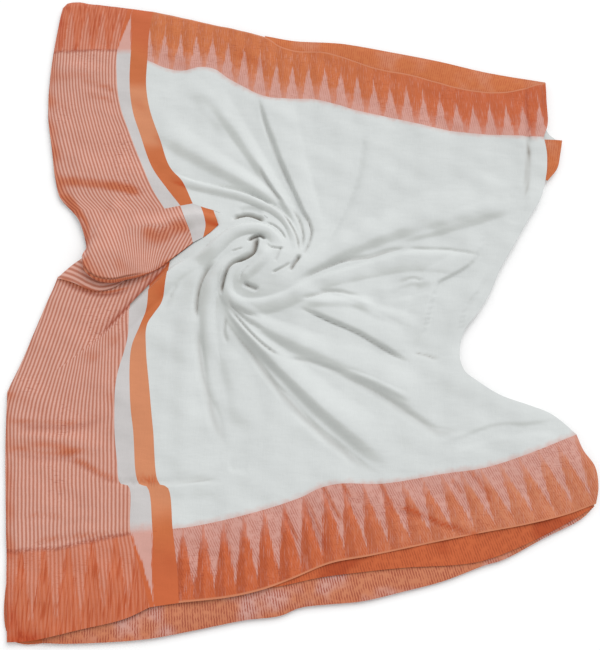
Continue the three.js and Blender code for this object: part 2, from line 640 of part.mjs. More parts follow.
function hiddenLayers() {
  const rim = new THREE.CatmullRomCurve3(
    OUTLINE.map(([x, y]) => new THREE.Vector3(x, y, 0)), true, 'centripetal');
  const positions = [];
  const ringAt = (place) => {
    for (let i = 0; i < RIM_STATIONS; i += 1) {
      const edge = rim.getPointAt(i / RIM_STATIONS);
      positions.push(...place(edge, Math.atan2(edge.y - STACK_MIDDLE.y, edge.x - STACK_MIDDLE.x)));
    }
  };
  RIM.forEach(({ inset, height }) => ringAt((edge, angle) => [
    edge.x - inset * Math.cos(angle), edge.y - inset * Math.sin(angle), height]));
  HEAP.forEach(({ radius, height }) => ringAt((edge, angle) => [
    HUB.x + radius * Math.cos(angle), HUB.y + radius * Math.sin(angle), height]));
  const underMiddle = positions.length / 3;
  const topMiddle = underMiddle + 1;
  positions.push(STACK_MIDDLE.x, STACK_MIDDLE.y, 0, HUB.x, HUB.y, HEAP.at(-1).height + 0.5);
  const rings = RIM.length + HEAP.length;
  const faces = [];
  for (let i = 0; i < RIM_STATIONS; i += 1) {
    const next = (i + 1) % RIM_STATIONS;
    faces.push(underMiddle, next, i);
    for (let ring = 0; ring + 1 < rings; ring += 1) {
      const low = ring * RIM_STATIONS;
      const high = low + RIM_STATIONS;
      faces.push(low + i, low + next, high + next, low + i, high + next, high + i);
    }
    const last = (rings - 1) * RIM_STATIONS;
    faces.push(topMiddle, last + i, last + next);
  }
  return meshOf('hidden_layers', 'stack', positions, faces);
}

part.add(hiddenLayers());

export default part;
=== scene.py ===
"""A cotton saree, folded into a flat stack and twisted at its middle into a rosette.

The plan is in millimetres, as in the part's own tables: each stretch of cloth is a patch
between four smooth curves, and one function, surface(), gives the height of its upper
face. to_metres() turns plan points into the frame.
"""

import math

import bpy
import numpy as np
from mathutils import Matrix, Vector


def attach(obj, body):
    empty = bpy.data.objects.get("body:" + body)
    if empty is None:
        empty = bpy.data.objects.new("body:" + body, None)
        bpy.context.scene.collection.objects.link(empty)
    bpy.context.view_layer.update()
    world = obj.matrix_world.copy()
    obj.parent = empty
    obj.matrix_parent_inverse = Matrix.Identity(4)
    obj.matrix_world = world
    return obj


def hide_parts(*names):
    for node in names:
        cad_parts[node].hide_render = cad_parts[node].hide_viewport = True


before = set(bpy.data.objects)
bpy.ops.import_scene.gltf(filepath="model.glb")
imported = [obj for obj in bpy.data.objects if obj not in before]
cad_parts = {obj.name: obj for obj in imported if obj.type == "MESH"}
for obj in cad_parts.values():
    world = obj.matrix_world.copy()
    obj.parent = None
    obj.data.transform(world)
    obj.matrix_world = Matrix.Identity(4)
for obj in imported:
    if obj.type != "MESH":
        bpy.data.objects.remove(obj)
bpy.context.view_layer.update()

MM = 0.001
TO_MIDDLE = (0.5, -1.6)      # the plan's shift in the frame, in millimetres

# -------- camera

CAMERA_TILT = math.radians(18)       # from looking straight down, towards +Y
CAMERA_PLACE = (1.5, -479.6, 1248)   # millimetres
CAMERA_LENS = 44.31
CAMERA_SENSOR = 36


def add_camera():
    data = bpy.data.cameras.new("camera")
    data.lens = CAMERA_LENS
    data.sensor_width = CAMERA_SENSOR
    data.dof.use_dof = False
    camera = bpy.data.objects.new("camera", data)
    camera.location = [MM * c for c in CAMERA_PLACE]
    camera.rotation_euler = (CAMERA_TILT, 0, 0)
    bpy.context.scene.collection.objects.link(camera)
    bpy.context.scene.camera = camera


add_camera()

# -------- sizes, in millimetres

CLOTH = 0.8                  # thickness of the thin shell that a layer is made as
WALL = 1.5                   # thickness of a layer's solid
AIR = 0.8                    # between two layers, one lying loosely on the other
LAYER_STEP = WALL + AIR
STACK_TOP = 5.0
UNDER_2_TOP = STACK_TOP + LAYER_STEP
UNDER_1_TOP = UNDER_2_TOP + LAYER_STEP
TOP_LEVEL = UNDER_1_TOP + LAYER_STEP
POCKET_LIFT = 2.4            # of the layer in the pocket, over the top layer
# The rolled fold: its height, then shares of it, or of the way across or up the fold.
LOBE = {"height": 21, "shoulder": 0.75, "roll": 0.36, "top": 0.3, "crest_low": 0.03,
        "crest_high": 0.34, "dip": 0.8, "dip_from": 0.5, "valley": 0.3, "ridge": 0.66,
        "apron": 0.22, "opening": (0.3, 0.55)}
# How far the cloth sinks at the outline, at the end piece's end edge and elsewhere; the width
# over which it does so; and where along X the one changes to the other.
EDGE_DROP = {"end": 5.5, "layered": 2.0, "width": 22, "change": (-400, -370)}
HUB = (-69, 28)              # the rosette's middle
MOUND = {"height": 24, "spread": 118, "steepness": 1.6}
TROUGH_DEPTH = 1.6           # the top layer sinks no further into the ones below

STRIPE_PITCH = 5.95          # the pallu's stripes, one orange and one pale
RIB_PITCH = 3.8              # the fine ribs in the borders

# -------- plan curves

CURVES = {
    # the pallu's end edge, from the fold line up to the top left corner
    "end_upper": [(-390, 131), (-412, 156), (-424, 195), (-436, 255), (-448, 318), (-452, 395),
        (-450, 470), (-443, 549)],
    # stripes to plain margin, margin to band, band to body, in the upper left
    "stripe_upper": [(-230, 132), (-252, 168), (-277, 224), (-299, 278), (-321, 339), (-331, 402),
        (-333, 456), (-320, 546)],
    "band_left_upper": [(-203, 137), (-229, 172), (-256, 212), (-281, 278), (-297, 325), (-306, 380),
        (-308, 434), (-303, 543)],
    "band_right_upper": [(-182, 141), (-201, 182), (-226, 214), (-244, 264), (-267, 329), (-276, 380),
        (-277, 430)],
    "band_right_top": [(-277, 430), (-277, 485), (-273, 539)],
    "top_left_corner": [(-443, 549), (-434, 560), (-412, 562), (-370, 553), (-320, 546)],
    # the line where the upper left dips before the fold that rolls over
    "dip_pallu": [(-390, 131), (-310, 130), (-230, 132)],
    "dip_margin": [(-230, 132), (-203, 137)],
    "dip_band": [(-203, 137), (-182, 141)],
    # the rolled fold: its end at the outline, and its rolled lower edge
    "lobe_end": [(-360, 36), (-357, 52), (-364, 84), (-377, 115), (-390, 131)],
    "lobe_stripe": [(-178, 66), (-183, 85), (-194, 112), (-203, 137)],
    "lobe_band": [(-161, 75), (-158, 98), (-162, 118), (-168, 135)],
    "lobe_right_low": [(-148, 85), (-136, 98)],
    "lobe_right_high": [(-136, 98), (-146, 127)],
    "lobe_under_body": [(-216, 35), (-178, 66)],
    "lobe_margin_edge": [(-178, 66), (-161, 75)],
    "lobe_band_edge": [(-161, 75), (-148, 85)],
    "dip_margin_body": [(-182, 141), (-168, 135)],
    "dip_band_body": [(-168, 135), (-146, 127)],
    "lobe_roll": [(-360, 36), (-355, 16), (-336, -1), (-309, -7), (-285, -1), (-249, 12), (-216, 35)],
    # the edge where the body lies over the pallu, from the border up to the rosette
    "stripe_lower": [(-218, -509), (-235, -457), (-253, -403), (-260, -335), (-274, -330), (-281, -295),
        (-288, -248), (-291, -167), (-278, -101), (-277, -72), (-278, -40)],
    "band_left_lower": [(-205, -507), (-212, -457), (-220, -401), (-232, -336), (-245, -331),
        (-259, -248), (-265, -214), (-271, -117), (-258, -75), (-249, -45), (-248, -5)],
    "band_right_lower": [(-190, -398), (-201, -336), (-214, -331), (-228, -248), (-238, -180),
        (-247, -115), (-247, -75), (-226, -37), (-220, 0), (-216, 35)],
    "band_right_bottom": [(-176, -503), (-181, -454), (-190, -398)],
    # the pallu's end edge below the pocket
    "flap_end": [(-464, -187), (-444, -130), (-424, -63), (-409, -14), (-402, 10)],
    "flap_top": [(-402, 10), (-350, 3), (-300, -2), (-256, 14), (-216, 35)],
    "overlap_flap": [(-464, -187), (-400, -160), (-339, -109), (-278, -40)],
    "overlap_margin": [(-278, -40), (-248, -5)],
    "overlap_band": [(-248, -5), (-216, 35)],
    "end_lower": [(-423, -557), (-440, -412), (-454, -300), (-464, -187)],
    "bottom_pallu": [(-423, -557), (-389, -555), (-319, -540), (-254, -525), (-218, -509)],
    "pocket_end": [(-402, 6), (-383, 25), (-362, 41)],
    "pocket_edge": [(-402, 6), (-372, -4), (-350, -14), (-329, -18), (-305, -12), (-285, 4)],
    "pocket_top": [(-362, 41), (-330, 26), (-290, 18)],
    "pocket_inner": [(-285, 4), (-290, 18)],
    # the body's outline at the right, from the bottom border up to the top border
    "body_right": [(432, -255), (398, -224), (364, -209), (318, -192), (285, -170), (265, -154),
        (258, -134), (260, -109), (269, -84), (293, -53), (315, -19), (334, 21), (363, 69), (393, 119),
        (413, 151), (426, 190), (432, 236), (430, 272)],
    # the borders' inner lines and selvedges
    "top_inner": [(-277, 430), (-241, 414), (-208, 409), (-181, 416), (-154, 412), (-126, 391),
        (-62, 355), (1, 349), (28, 348), (117, 321), (179, 306), (249, 288), (301, 279), (430, 272)],
    "top_selvedge": [(-273, 539), (-189, 517), (-110, 496), (-82, 488), (-57, 478), (-36, 461),
        (-10, 452), (56, 445), (137, 414), (209, 397), (289, 371), (365, 363), (444, 384)],
    "top_right_end": [(430, 272), (440, 300), (442, 345), (444, 384)],
    "bottom_inner": [(-190, -398), (-163, -395), (-76, -376), (1, -352), (33, -337), (64, -331),
        (127, -331), (221, -316), (284, -307), (349, -287), (432, -255)],
    "bottom_selvedge": [(-176, -503), (-101, -495), (-55, -485), (-14, -471), (45, -448), (105, -437),
        (215, -415), (278, -403), (340, -392), (404, -377), (450, -361)],
    "bottom_right_end": [(450, -361), (457, -335), (455, -305), (440, -280), (432, -255)],
    # the layers below, where they show: outer edge first, then the edge that is covered
    "under_top_outer": [(-64, 486), (-10, 475), (78, 469), (166, 451), (253, 431), (339, 407),
        (444, 386)],
    "under_top_inner": [(-60, 435), (0, 425), (120, 385), (250, 350), (420, 330)],
    "under_right_outer": [(430, 188), (449, 212), (457, 240), (463, 267)],
    "under_right_inner": [(408, 198), (412, 268)],
    "under_2_outer": [(-372, -558), (-334, -559), (-223, -553), (-158, -542), (-79, -527), (-28, -521),
        (1, -510), (46, -505), (92, -501), (151, -488), (212, -473), (274, -451), (305, -442),
        (368, -411), (427, -383), (449, -364)],
    "under_2_inner": [(-368, -505), (-150, -470), (100, -400), (430, -330)],
    "under_1_outer": [(-360, -540), (-269, -516), (-159, -496), (-30, -480), (29, -468), (93, -460),
        (152, -454), (263, -446), (330, -424), (405, -389), (446, -366)],
    "under_1_inner": [(-355, -490), (-150, -455), (100, -385), (425, -325)],
}

# The whole outline of the stack, counter-clockwise from the bottom left corner.
OUTLINE = [
    (-423, -558), (-334, -560), (-223, -554), (-158, -543), (-79, -528), (-28, -522), (1, -511),
    (46, -506), (92, -502), (151, -489), (212, -474), (274, -452), (305, -443), (368, -412),
    (427, -384), (452, -360), (459, -320), (456, -303), (444, -272), (420, -240), (398, -222),
    (364, -208), (318, -192), (285, -170), (265, -154), (257, -130), (260, -109), (269, -84),
    (293, -53), (315, -19), (334, 21), (363, 69), (393, 119), (413, 151), (428, 189), (450, 212),
    (458, 240), (464, 268), (445, 290), (446, 345), (446, 388), (424, 388), (339, 408), (253, 432),
    (166, 452), (78, 470), (-10, 476), (-99, 497), (-189, 517), (-279, 540), (-370, 554), (-412, 563),
    (-436, 561), (-445, 549), (-451, 470), (-453, 395), (-449, 318), (-437, 255), (-424, 189),
    (-412, 156), (-390, 131), (-377, 115), (-364, 84), (-356, 58), (-362, 39), (-383, 25), (-403, 8),
    (-409, -14), (-424, -63), (-446, -134), (-466, -187), (-455, -300), (-440, -415)
]

# Where a border begins and ends across the pallu: its inner line and its selvedge.
BORDER_LINES = {
    "top_inner": [(-470, 448), (-312, 454), (-277, 430)],
    "top_selvedge": [(-470, 562), (-412, 562), (-320, 546), (-273, 539)],
    "bottom_inner": [(-440, -431), (-356, -426), (-298, -412), (-254, -404), (-190, -398)],
    "bottom_selvedge": [(-440, -557), (-389, -555), (-319, -540), (-254, -525), (-176, -503)],
}

# -------- folds

# Each fold: its form; its half width and its rise at the two ends, a rise below zero being
# a trough; its lean, above zero where its left side is the steeper one; and the plan points
# that it runs through.
FOLDS = [
    # the gathered folds above the rosette, from the left round to the right
    ("tube", (9, 8), (4, 8), 0.5, [(-233, 203), (-188, 183), (-145, 171), (-101, 158), (-67, 142),
        (-38, 125), (-17, 103), (-6, 77), (-1, 50)]),
    ("crease", (5, 4), (-2, -4), -0.3, [(-162, 175), (-128, 172), (-97, 163), (-73, 152), (-50, 135),
        (-31, 120), (-17, 102)]),
    ("swell", (34, 12), (5, 7), -0.1, [(-250, 298), (-209, 260), (-164, 230), (-120, 201), (-81, 175),
        (-47, 149), (-19, 120)]),
    ("swell", (26, 22), (2.5, 3), 0, [(-197, 380), (-155, 328), (-122, 284)]),
    ("swell", (26, 9), (4, 9), -0.1, [(-170, 379), (-126, 310), (-90, 250), (-64, 206), (-38, 162),
        (-13, 119), (1, 85)]),
    ("tube", (34, 12), (4, 9), -0.72, [(-69, 364), (-54, 307), (-39, 260), (-27, 222), (-11, 179),
        (6, 134), (16, 105), (19, 80)]),
    ("crease", (5, 5), (-2.5, -4), 0, [(-74, 353), (-63, 303), (-50, 260), (-37, 225), (-23, 192),
        (-9, 157)]),
    ("crease", (6, 5), (-4, -5), 0.3, [(-72, 210), (-58, 185), (-42, 158), (-26, 135)]),
    ("crease", (4, 4), (-4, -5), 0, [(-28, 118), (-14, 95), (-4, 72), (-1, 48)]),
    ("crease", (4, 4), (-4, -5), 0, [(-14, 131), (-1, 108), (6, 79), (4, 51)]),
    ("crease", (4, 4), (-5, -5), 0, [(6, 124), (16, 103), (20, 84), (16, 65), (6, 40)]),
    ("tube", (36, 20), (6, 6), -0.35, [(137, 309), (132, 246), (120, 188), (98, 131), (70, 79), (37, 40)]),
    # the coil of the rosette, and the creases that wind into it
    ("tube", (15, 10), (9, 8), 0.35, [(-171, 31), (-151, 50), (-131, 70), (-112, 84), (-89, 92),
        (-67, 91), (-50, 84), (-37, 70), (-30, 54)]),
    ("crease", (6, 6), (-10, -10), -0.5, [(-114, 106), (-101, 113), (-87, 115), (-73, 110), (-58, 101)]),
    ("swell", (12, 12), (-3, -3), 0, [(-107, 121), (-84, 125), (-60, 117)]),
    ("crease", (3, 3), (-3, -4), 0, [(-58, 101), (-43, 95), (-31, 84), (-22, 68)]),
    ("crease", (5, 5), (-9, -8), 0.4, [(-87, 63), (-77, 72), (-64, 75), (-55, 66)]),
    ("crease", (9, 6), (-12, -9), 0.6, [(-70, 75), (-70, 57), (-74, 42), (-83, 34), (-96, 28),
        (-106, 25)]),
    ("crease", (5, 7), (-6, -11), 0.5, [(-86, 32), (-96, 28), (-106, 25), (-116, 16), (-121, 3),
        (-124, -10), (-127, -31)]),
    ("swell", (15, 12), (6, 4), 0, [(-58, 57), (-58, 36), (-71, 19), (-87, 4), (-95, -12)]),
    ("crease", (3, 3), (-2.5, -2.5), 0, [(-113, 45), (-103, 48), (-93, 51)]),
    ("crease", (3, 3), (-2, -2.5), 0, [(-82, 19), (-92, 9), (-98, -5)]),
    ("crease", (6, 6), (-7, -6), 0.3, [(-92, -9), (-81, -14), (-66, -21)]),
    ("crease", (4, 4), (-5, -3), 0, [(-46, 6), (-37, 11), (-25, 19), (-14, 27)]),
    ("crease", (6, 5), (-9, -7), 0.3, [(1, 43), (-2, 35), (-9, 24), (-15, 11)]),
    ("crease", (4, 4), (-3, -3), 0, [(-30, 55), (-34, 43), (-40, 25)]),
    ("crease", (3, 3), (-2.5, -4), 0, [(-55, 61), (-49, 53), (-35, 51), (-25, 52)]),
    ("tube", (12, 14), (6, 4), 0.2, [(-104, 24), (-115, 8), (-119, -11), (-114, -30), (-96, -43),
        (-67, -46), (-31, -37), (1, -21), (34, -1)]),
    # to the right of the rosette
    ("swell", (14, 50), (6, 9), -0.35, [(-23, -8), (26, 25), (76, 53), (132, 80), (203, 108),
        (275, 129), (352, 156)]),
    ("crease", (5, 5), (-3, -6), -0.5, [(-6, -7), (34, 16), (76, 35), (118, 42), (152, 53), (182, 59)]),
    ("swell", (14, 24), (4, 5), -0.3, [(169, 74), (237, 94), (302, 115), (364, 142)]),
    ("tube", (10, 24), (4, 5), 0.4, [(1, -14), (59, 9), (117, 27), (184, 43), (251, 41), (298, 32)]),
    ("crease", (4, 4), (-2.5, -2), -0.3, [(175, 58), (219, 57), (256, 55), (288, 47), (308, 43)]),
    ("crease", (5, 5), (-4, -2.5), -0.4, [(-1, -35), (24, -28), (42, -21), (62, -20), (83, -24),
        (103, -29)]),
    ("swell", (10, 16), (3, 4), 0, [(4, -41), (50, -37), (96, -37), (129, -46)]),
    ("tube", (20, 26), (5, 6), -0.7, [(-2, -41), (50, -63), (98, -85), (142, -112), (174, -130)]),
    ("crease", (3, 4), (-3, -5), 0.2, [(1, -48), (25, -59), (50, -71), (74, -81), (95, -91),
        (117, -105), (139, -119), (161, -132), (177, -140)]),
    ("swell", (12, 20), (3, 3), 0, [(86, -35), (123, -52), (164, -65), (195, -86)]),
    ("crease", (5, 5), (-2.5, -2), 0, [(163, -5), (187, 5), (207, -1)]),
    ("swell", (14, 14), (-2, -3), 0, [(141, -33), (182, -17), (223, -11)]),
    ("crease", (3, 4), (-6, -5), 0.5, [(183, -122), (202, -126), (224, -135)]),
    ("tube", (16, 16), (4, 5), 0.8, [(303, 104), (305, 77), (296, 49), (283, 32), (256, 14), (227, -3),
        (215, -35), (204, -73), (188, -118)]),
    ("tube", (12, 12), (3, 3), 0.75, [(314, 34), (298, -8), (272, -43), (257, -85), (245, -122)]),
    ("crease", (7, 7), (-8, -8), 0.3, [(411, 394), (408, 338), (404, 266), (397, 207), (387, 139)]),
    ("crease", (5, 5), (-4, -4), 0, [(436, 390), (436, 348), (432, 286)]),
    ("swell", (20, 20), (-3, -3), 0, [(353, 171), (375, 150), (360, 102)]),
    # below the rosette
    ("swell", (11, 40), (9, 9), -0.35, [(-122, -38), (-109, -61), (-89, -87), (-63, -115), (-34, -145),
        (-2, -175), (32, -208), (71, -241), (112, -273), (155, -298)]),
    ("crease", (7, 12), (-4, -4), 0.3, [(-126, -56), (-114, -79), (-96, -102), (-76, -125), (-56, -153),
        (-37, -178), (-15, -203), (9, -229), (35, -253), (66, -278), (96, -302), (131, -322)]),
    ("swell", (12, 44), (7, 7), -0.2, [(-112, -31), (-96, -52), (-67, -76), (-31, -95), (9, -113),
        (57, -132), (112, -157), (166, -189), (213, -220)]),
    ("crease", (4, 5), (-4, -5), 0.3, [(-116, -48), (-99, -68), (-79, -92), (-60, -110), (-41, -124),
        (-25, -133)]),
    ("crease", (6, 8), (-2.5, -2), 0.2, [(-25, -133), (9, -136), (46, -148), (80, -162)]),
    ("crease", (10, 14), (-2.5, -3), 0.2, [(49, -155), (96, -174), (135, -196), (177, -226),
        (219, -251), (263, -248)]),
    ("tube", (5, 6), (1.5, 1.5), 0, [(69, -153), (109, -168), (146, -186), (177, -201)]),
    ("crease", (5, 5), (-4, -2), 0, [(-119, -37), (-101, -57), (-80, -76), (-55, -89)]),
    ("crease", (4, 4), (-2.5, -1.5), 0, [(-107, -47), (-86, -60), (-60, -70)]),
    ("crease", (8, 6), (-7, -7), 0.4, [(-141, 29), (-155, 10), (-164, -16), (-167, -41), (-166, -69)]),
    ("crease", (9, 16), (-4, -3), 0, [(-167, -65), (-162, -110), (-154, -155), (-143, -197),
        (-130, -240), (-110, -279)]),
    ("tube", (13, 12), (7, 3), 0, [(-104, 36), (-123, 22), (-138, 4), (-147, -21), (-150, -51),
        (-147, -87), (-142, -123), (-136, -155)]),
    ("crease", (5, 5), (-3, -3), 0, [(-119, -66), (-122, -88), (-115, -109)]),
    ("swell", (24, 30), (4, 3), -0.2, [(-125, -111), (-100, -177), (-83, -248)]),
    ("crease", (4, 4), (-3, -2.5), 0, [(-199, -3), (-211, -27), (-221, -56)]),
    ("swell", (24, 34), (4, 3), 0, [(-189, -34), (-182, -103), (-181, -201), (-181, -280)]),
    ("swell", (12, 12), (-3, -3), 0, [(-110, -301), (-94, -304), (-79, -307)]),
    ("swell", (14, 16), (-3, -3), 0.3, [(218, -275), (259, -264), (301, -248), (352, -245), (408, -239)]),
    ("crease", (5, 6), (-6, -3), -0.4, [(-271, -329), (-228, -330), (-198, -330), (-164, -328),
        (-118, -325)]),
    ("swell", (8, 8), (-1.5, -1.5), 0, [(-212, -354), (-166, -354), (-120, -351)]),
    # the bottom border's pleats
    ("crease", (8, 10), (-5, -6), 0.2, [(4, -352), (18, -382), (32, -417), (43, -437)]),
    ("crease", (6, 6), (-5, -3), 0.2, [(33, -334), (47, -361), (63, -391)]),
    ("crease", (5, 5), (-4, -3), 0.2, [(64, -330), (77, -358), (93, -391)]),
    ("crease", (6, 7), (-4, -4), 0.2, [(120, -327), (132, -355), (146, -385)]),
    ("crease", (6, 5), (-5, -3), 0, [(-112, -388), (-108, -421), (-101, -451)]),
    ("crease", (5, 6), (-4, -3), 0, [(-25, -373), (-14, -397), (-2, -421)]),
    ("crease", (5, 6), (-3, -3), 0, [(226, -319), (245, -346), (265, -373)]),
    ("crease", (5, 6), (-4, -3), 0, [(259, -310), (276, -337), (294, -367)]),
    ("crease", (9, 8), (-6, -4), 0, [(146, -373), (167, -376), (188, -383)]),
    ("crease", (5, 6), (-4, -3), 0, [(182, -380), (226, -398), (278, -410), (331, -400)]),
    # the body's edge over the pallu, and the pallu's own folds
    ("tube", (14, 12), (9, 2), -0.7, [(-175, 42), (-207, 22), (-242, -13), (-273, -47), (-297, -76),
        (-315, -96), (-339, -119), (-370, -139)]),
    ("crease", (10, 9), (-10, -9), 0.4, [(-212, 37), (-244, 0), (-273, -35), (-302, -69), (-329, -103)]),
    ("crease", (8, 7), (-8, -8), 0.2, [(-401, 4), (-368, -12), (-333, -23), (-302, -21), (-273, -11)]),
    ("swell", (44, 38), (5.5, 6), -0.45, [(-419, 201), (-352, 190), (-300, 182), (-254, 168)]),
    ("tube", (20, 18), (4, 5), -0.5, [(-307, 148), (-321, 120), (-334, 94), (-345, 69)]),
    ("crease", (8, 8), (-2, -2), 0.4, [(-399, 380), (-363, 375), (-326, 362)]),
    ("swell", (16, 14), (-2.5, -2.5), 0.3, [(-389, 353), (-350, 344), (-312, 322)]),
    ("swell", (26, 22), (2.5, 2.5), 0, [(-449, 402), (-397, 412), (-339, 401)]),
    ("crease", (16, 12), (-5, -5), 0.3, [(-456, -237), (-405, -243), (-351, -243), (-294, -226)]),
    ("crease", (12, 10), (-4, -4), 0, [(-451, -282), (-416, -290), (-373, -292), (-332, -283)]),
    ("crease", (16, 12), (-4, -6), 0, [(-408, 157), (-383, 123), (-364, 83), (-356, 49)]),
    ("tube", (12, 12), (2, 2), 0.4, [(-450, -264), (-395, -258), (-340, -266), (-284, -280)]),
    ("crease", (7, 5), (-4, -7), -0.3, [(-372, -293), (-350, -299), (-329, -308), (-305, -321),
        (-287, -327), (-262, -331)]),
    ("crease", (6, 6), (-1.5, -1.5), 0, [(-421, -385), (-384, -380), (-351, -386)]),
    ("crease", (8, 8), (-2, -3), 0, [(-413, -426), (-358, -415), (-298, -411), (-248, -405)]),
    ("crease", (6, 6), (-1.5, -1.5), 0, [(-351, -391), (-324, -386), (-299, -394)]),
]

FOLD_FADE = (-0.02, 0.22)    # the shares of a fold's length between which each end fades

# A fold's section, from 1 on its line to 0 at its edge: (1 - t ** a) ** b.
FORMS = {"swell": (2, 2), "tube": (2, 0.9), "crease": (1, 1.5)}

# -------- small helpers


def mix(a, b, t):
    return a + (b - a) * t


def smooth_step(low, high, value):
    t = np.clip((value - low) / (high - low), 0, 1)
    return t * t * (3 - 2 * t)


def lengths_along(line):
    """The length from the start of a line of points to each of them."""
    return np.concatenate([[0], np.cumsum(np.hypot(*np.diff(line, axis=0).T))])


def smooth_line(points, closed=False, steps=24):
    """Close points on the centripetal Catmull-Rom curve through plan points."""
    p = np.array(points, float)
    if len(p) == 2:
        return p
    if closed:
        ring = np.vstack([p[-1:], p, p[:2]])
    else:
        ring = np.vstack([2 * p[:1] - p[1:2], p, 2 * p[-1:] - p[-2:-1]])
    gaps = np.hypot(*np.diff(ring, axis=0).T) ** 0.5
    t = np.linspace(0, 1, steps, endpoint=False)[:, None]
    runs = []
    for k in range(1, len(ring) - 2):
        a, b, c, d = ring[k - 1:k + 3]
        before, here, after = gaps[k - 1:k + 2]
        start = ((b - a) / before - (c - a) / (before + here) + (c - b) / here) * here
        end = ((c - b) / here - (d - b) / (here + after) + (d - c) / after) * here
        runs.append(b + start * t + (3 * (c - b) - 2 * start - end) * t ** 2
                    + (2 * (b - c) + start + end) * t ** 3)
    return np.vstack(runs + [ring[-2:-1]])


def curve_through(points, closed=False):
    """A function of the share of its length, from 0 to 1, along a smooth curve."""
    line = smooth_line(points, closed)
    lengths = lengths_along(line)

    def at(share):
        return np.stack([np.interp(share, lengths / lengths[-1], line[:, k]) for k in (0, 1)], -1)

    return at


curves = {name: curve_through(points) for name, points in CURVES.items()}


def even_shares(count):
    return np.linspace(0, 1, count + 1)


def start_shares(count, power):
    return even_shares(count) ** power


def end_shares(count, power):
    return 1 - (1 - even_shares(count)) ** power


def middle_shares(count, middle, spread, crowding):
    t = np.linspace(0, 1, 4001)
    pull = t + crowding * spread * np.arctan((t - middle) / spread)
    return np.interp(even_shares(count), (pull - pull[0]) / (pull[-1] - pull[0]), t)


def stations(name, steps):
    """Points along a named curve, at even steps or at given shares of it."""
    return curves[name](even_shares(steps) if isinstance(steps, int) else steps)


def stations_on(steps, *names):
    """The same stations on several named curves."""
    return [stations(name, steps) for name in names]


def straight(a, b, steps):
    return mix(np.asarray(a), np.asarray(b), even_shares(steps)[:, None])


def joined(*runs):
    """Several runs of stations joined end to end, without the doubled points."""
    return np.vstack([runs[0]] + [run[1:] for run in runs[1:]])


def plan_grid(left, right, bottom, top):
    """The plan grid between four sides, of shape rows, columns, 2."""
    v = np.linspace(0, 1, len(left))[:, None, None]
    u = np.linspace(0, 1, len(bottom))[None, :, None]
    across = mix(left[:, None], right[:, None], u)
    up = mix(bottom[None], top[None], v)
    corners = mix(mix(bottom[0], bottom[-1], u), mix(top[0], top[-1], u), v)
    return across + up - corners


# -------- heights


def nearest_on_line(line, xy):
    """For plan points: how far along a line of points, on which side, and how far off."""
    lengths = lengths_along(line)
    best = np.full(len(xy), np.inf)
    along = np.zeros(len(xy))
    side = np.ones(len(xy))
    for k in range(len(line) - 1):
        a = line[k]
        step = line[k + 1] - a
        off = xy - a
        t = np.clip(off @ step / (step @ step), 0, 1)
        distance = np.hypot(*(off - t[:, None] * step).T)
        nearer = distance < best
        best = np.where(nearer, distance, best)
        along = np.where(nearer, lengths[k] + t * (lengths[k + 1] - lengths[k]), along)
        side = np.where(nearer, np.where(step[0] * off[:, 1] >= step[1] * off[:, 0], 1, -1), side)
    return along / lengths[-1], side, best


fold_lines = [smooth_line(fold[-1], steps=7) for fold in FOLDS]


def fold_rise(line, fold, xy):
    form, widths, rises, lean, _ = fold
    inner, outer = FORMS[form]
    reach = max(widths) * (1 + abs(lean))
    near = ((xy > line.min(0) - reach) & (xy < line.max(0) + reach)).all(1)
    total = np.zeros(len(xy))
    if near.any():
        along, side, distance = nearest_on_line(line, xy[near])
        width = mix(widths[0], widths[1], along) * (1 - side * lean)
        across = (1 - np.minimum(distance / width, 1) ** inner) ** outer
        ends = smooth_step(*FOLD_FADE, along) * smooth_step(*FOLD_FADE, 1 - along)
        total[near] = mix(rises[0], rises[1], along) * across * ends
    return total


closed_outline = np.array(OUTLINE + OUTLINE[:1], float)


def edge_drop(xy):
    distance = nearest_on_line(closed_outline, xy)[2]
    drop = mix(EDGE_DROP["end"], EDGE_DROP["layered"], smooth_step(*EDGE_DROP["change"], xy[:, 0]))
    return drop * (1 - np.minimum(distance / EDGE_DROP["width"], 1)) ** 2


def mound(xy):
    reach = np.hypot(*(xy - HUB).T) / MOUND["spread"]
    return MOUND["height"] * np.exp(-reach * reach * MOUND["steepness"])


CREASE_DEPTH = 8             # a crease this deep gets the darkest painted shade
SUN = {"from": (0.38, 0.66, 0.62), "spread": 50, "power": 1.8}
LEE_SLOPE = (0.03, 0.34)     # where the lee's shade begins and is full

# The cloth's soft unevenness: waves of a few lengths, in seeded directions.
CRUMPLE = {"waves": 14, "lengths": (34, 120), "height": 0.22, "seed": 7}


def crumple(xy):
    draw = np.random.default_rng(CRUMPLE["seed"])
    total = np.zeros(len(xy))
    for _ in range(CRUMPLE["waves"]):
        turn, phase = draw.uniform(0, 2 * math.pi, 2)
        length = draw.uniform(*CRUMPLE["lengths"])
        total += np.sin((xy @ (math.cos(turn), math.sin(turn))) * 2 * math.pi / length + phase)
    return total * CRUMPLE["height"]


def hollow(xy):
    """How deep in a crease each plan point lies, from 0 to 1: the share of painted shade there."""
    depth = sum(np.maximum(-fold_rise(line, fold, xy), 0)
                for line, fold in zip(fold_lines, FOLDS) if fold[0] == "crease")
    return np.minimum(depth / CREASE_DEPTH, 1)


def lee(points):
    """How far a grid of points slopes away from the light, from 0 to 1."""
    normal = np.cross(np.gradient(points, axis=1), np.gradient(points, axis=0))
    normal = normal / np.maximum(np.linalg.norm(normal, axis=2, keepdims=True), 1e-9)
    sun = np.array(SUN["from"][:2])
    return smooth_step(*LEE_SLOPE, normal[..., :2] @ (-sun / math.hypot(*sun)))


def surface(xy):
    """The height of the top layer's upper face over plan points."""
    relief = mound(xy) + crumple(xy)
    for line, fold in zip(fold_lines, FOLDS):
        relief = relief + fold_rise(line, fold, xy)
    return TOP_LEVEL + np.maximum(relief, -TROUGH_DEPTH) - edge_drop(xy)


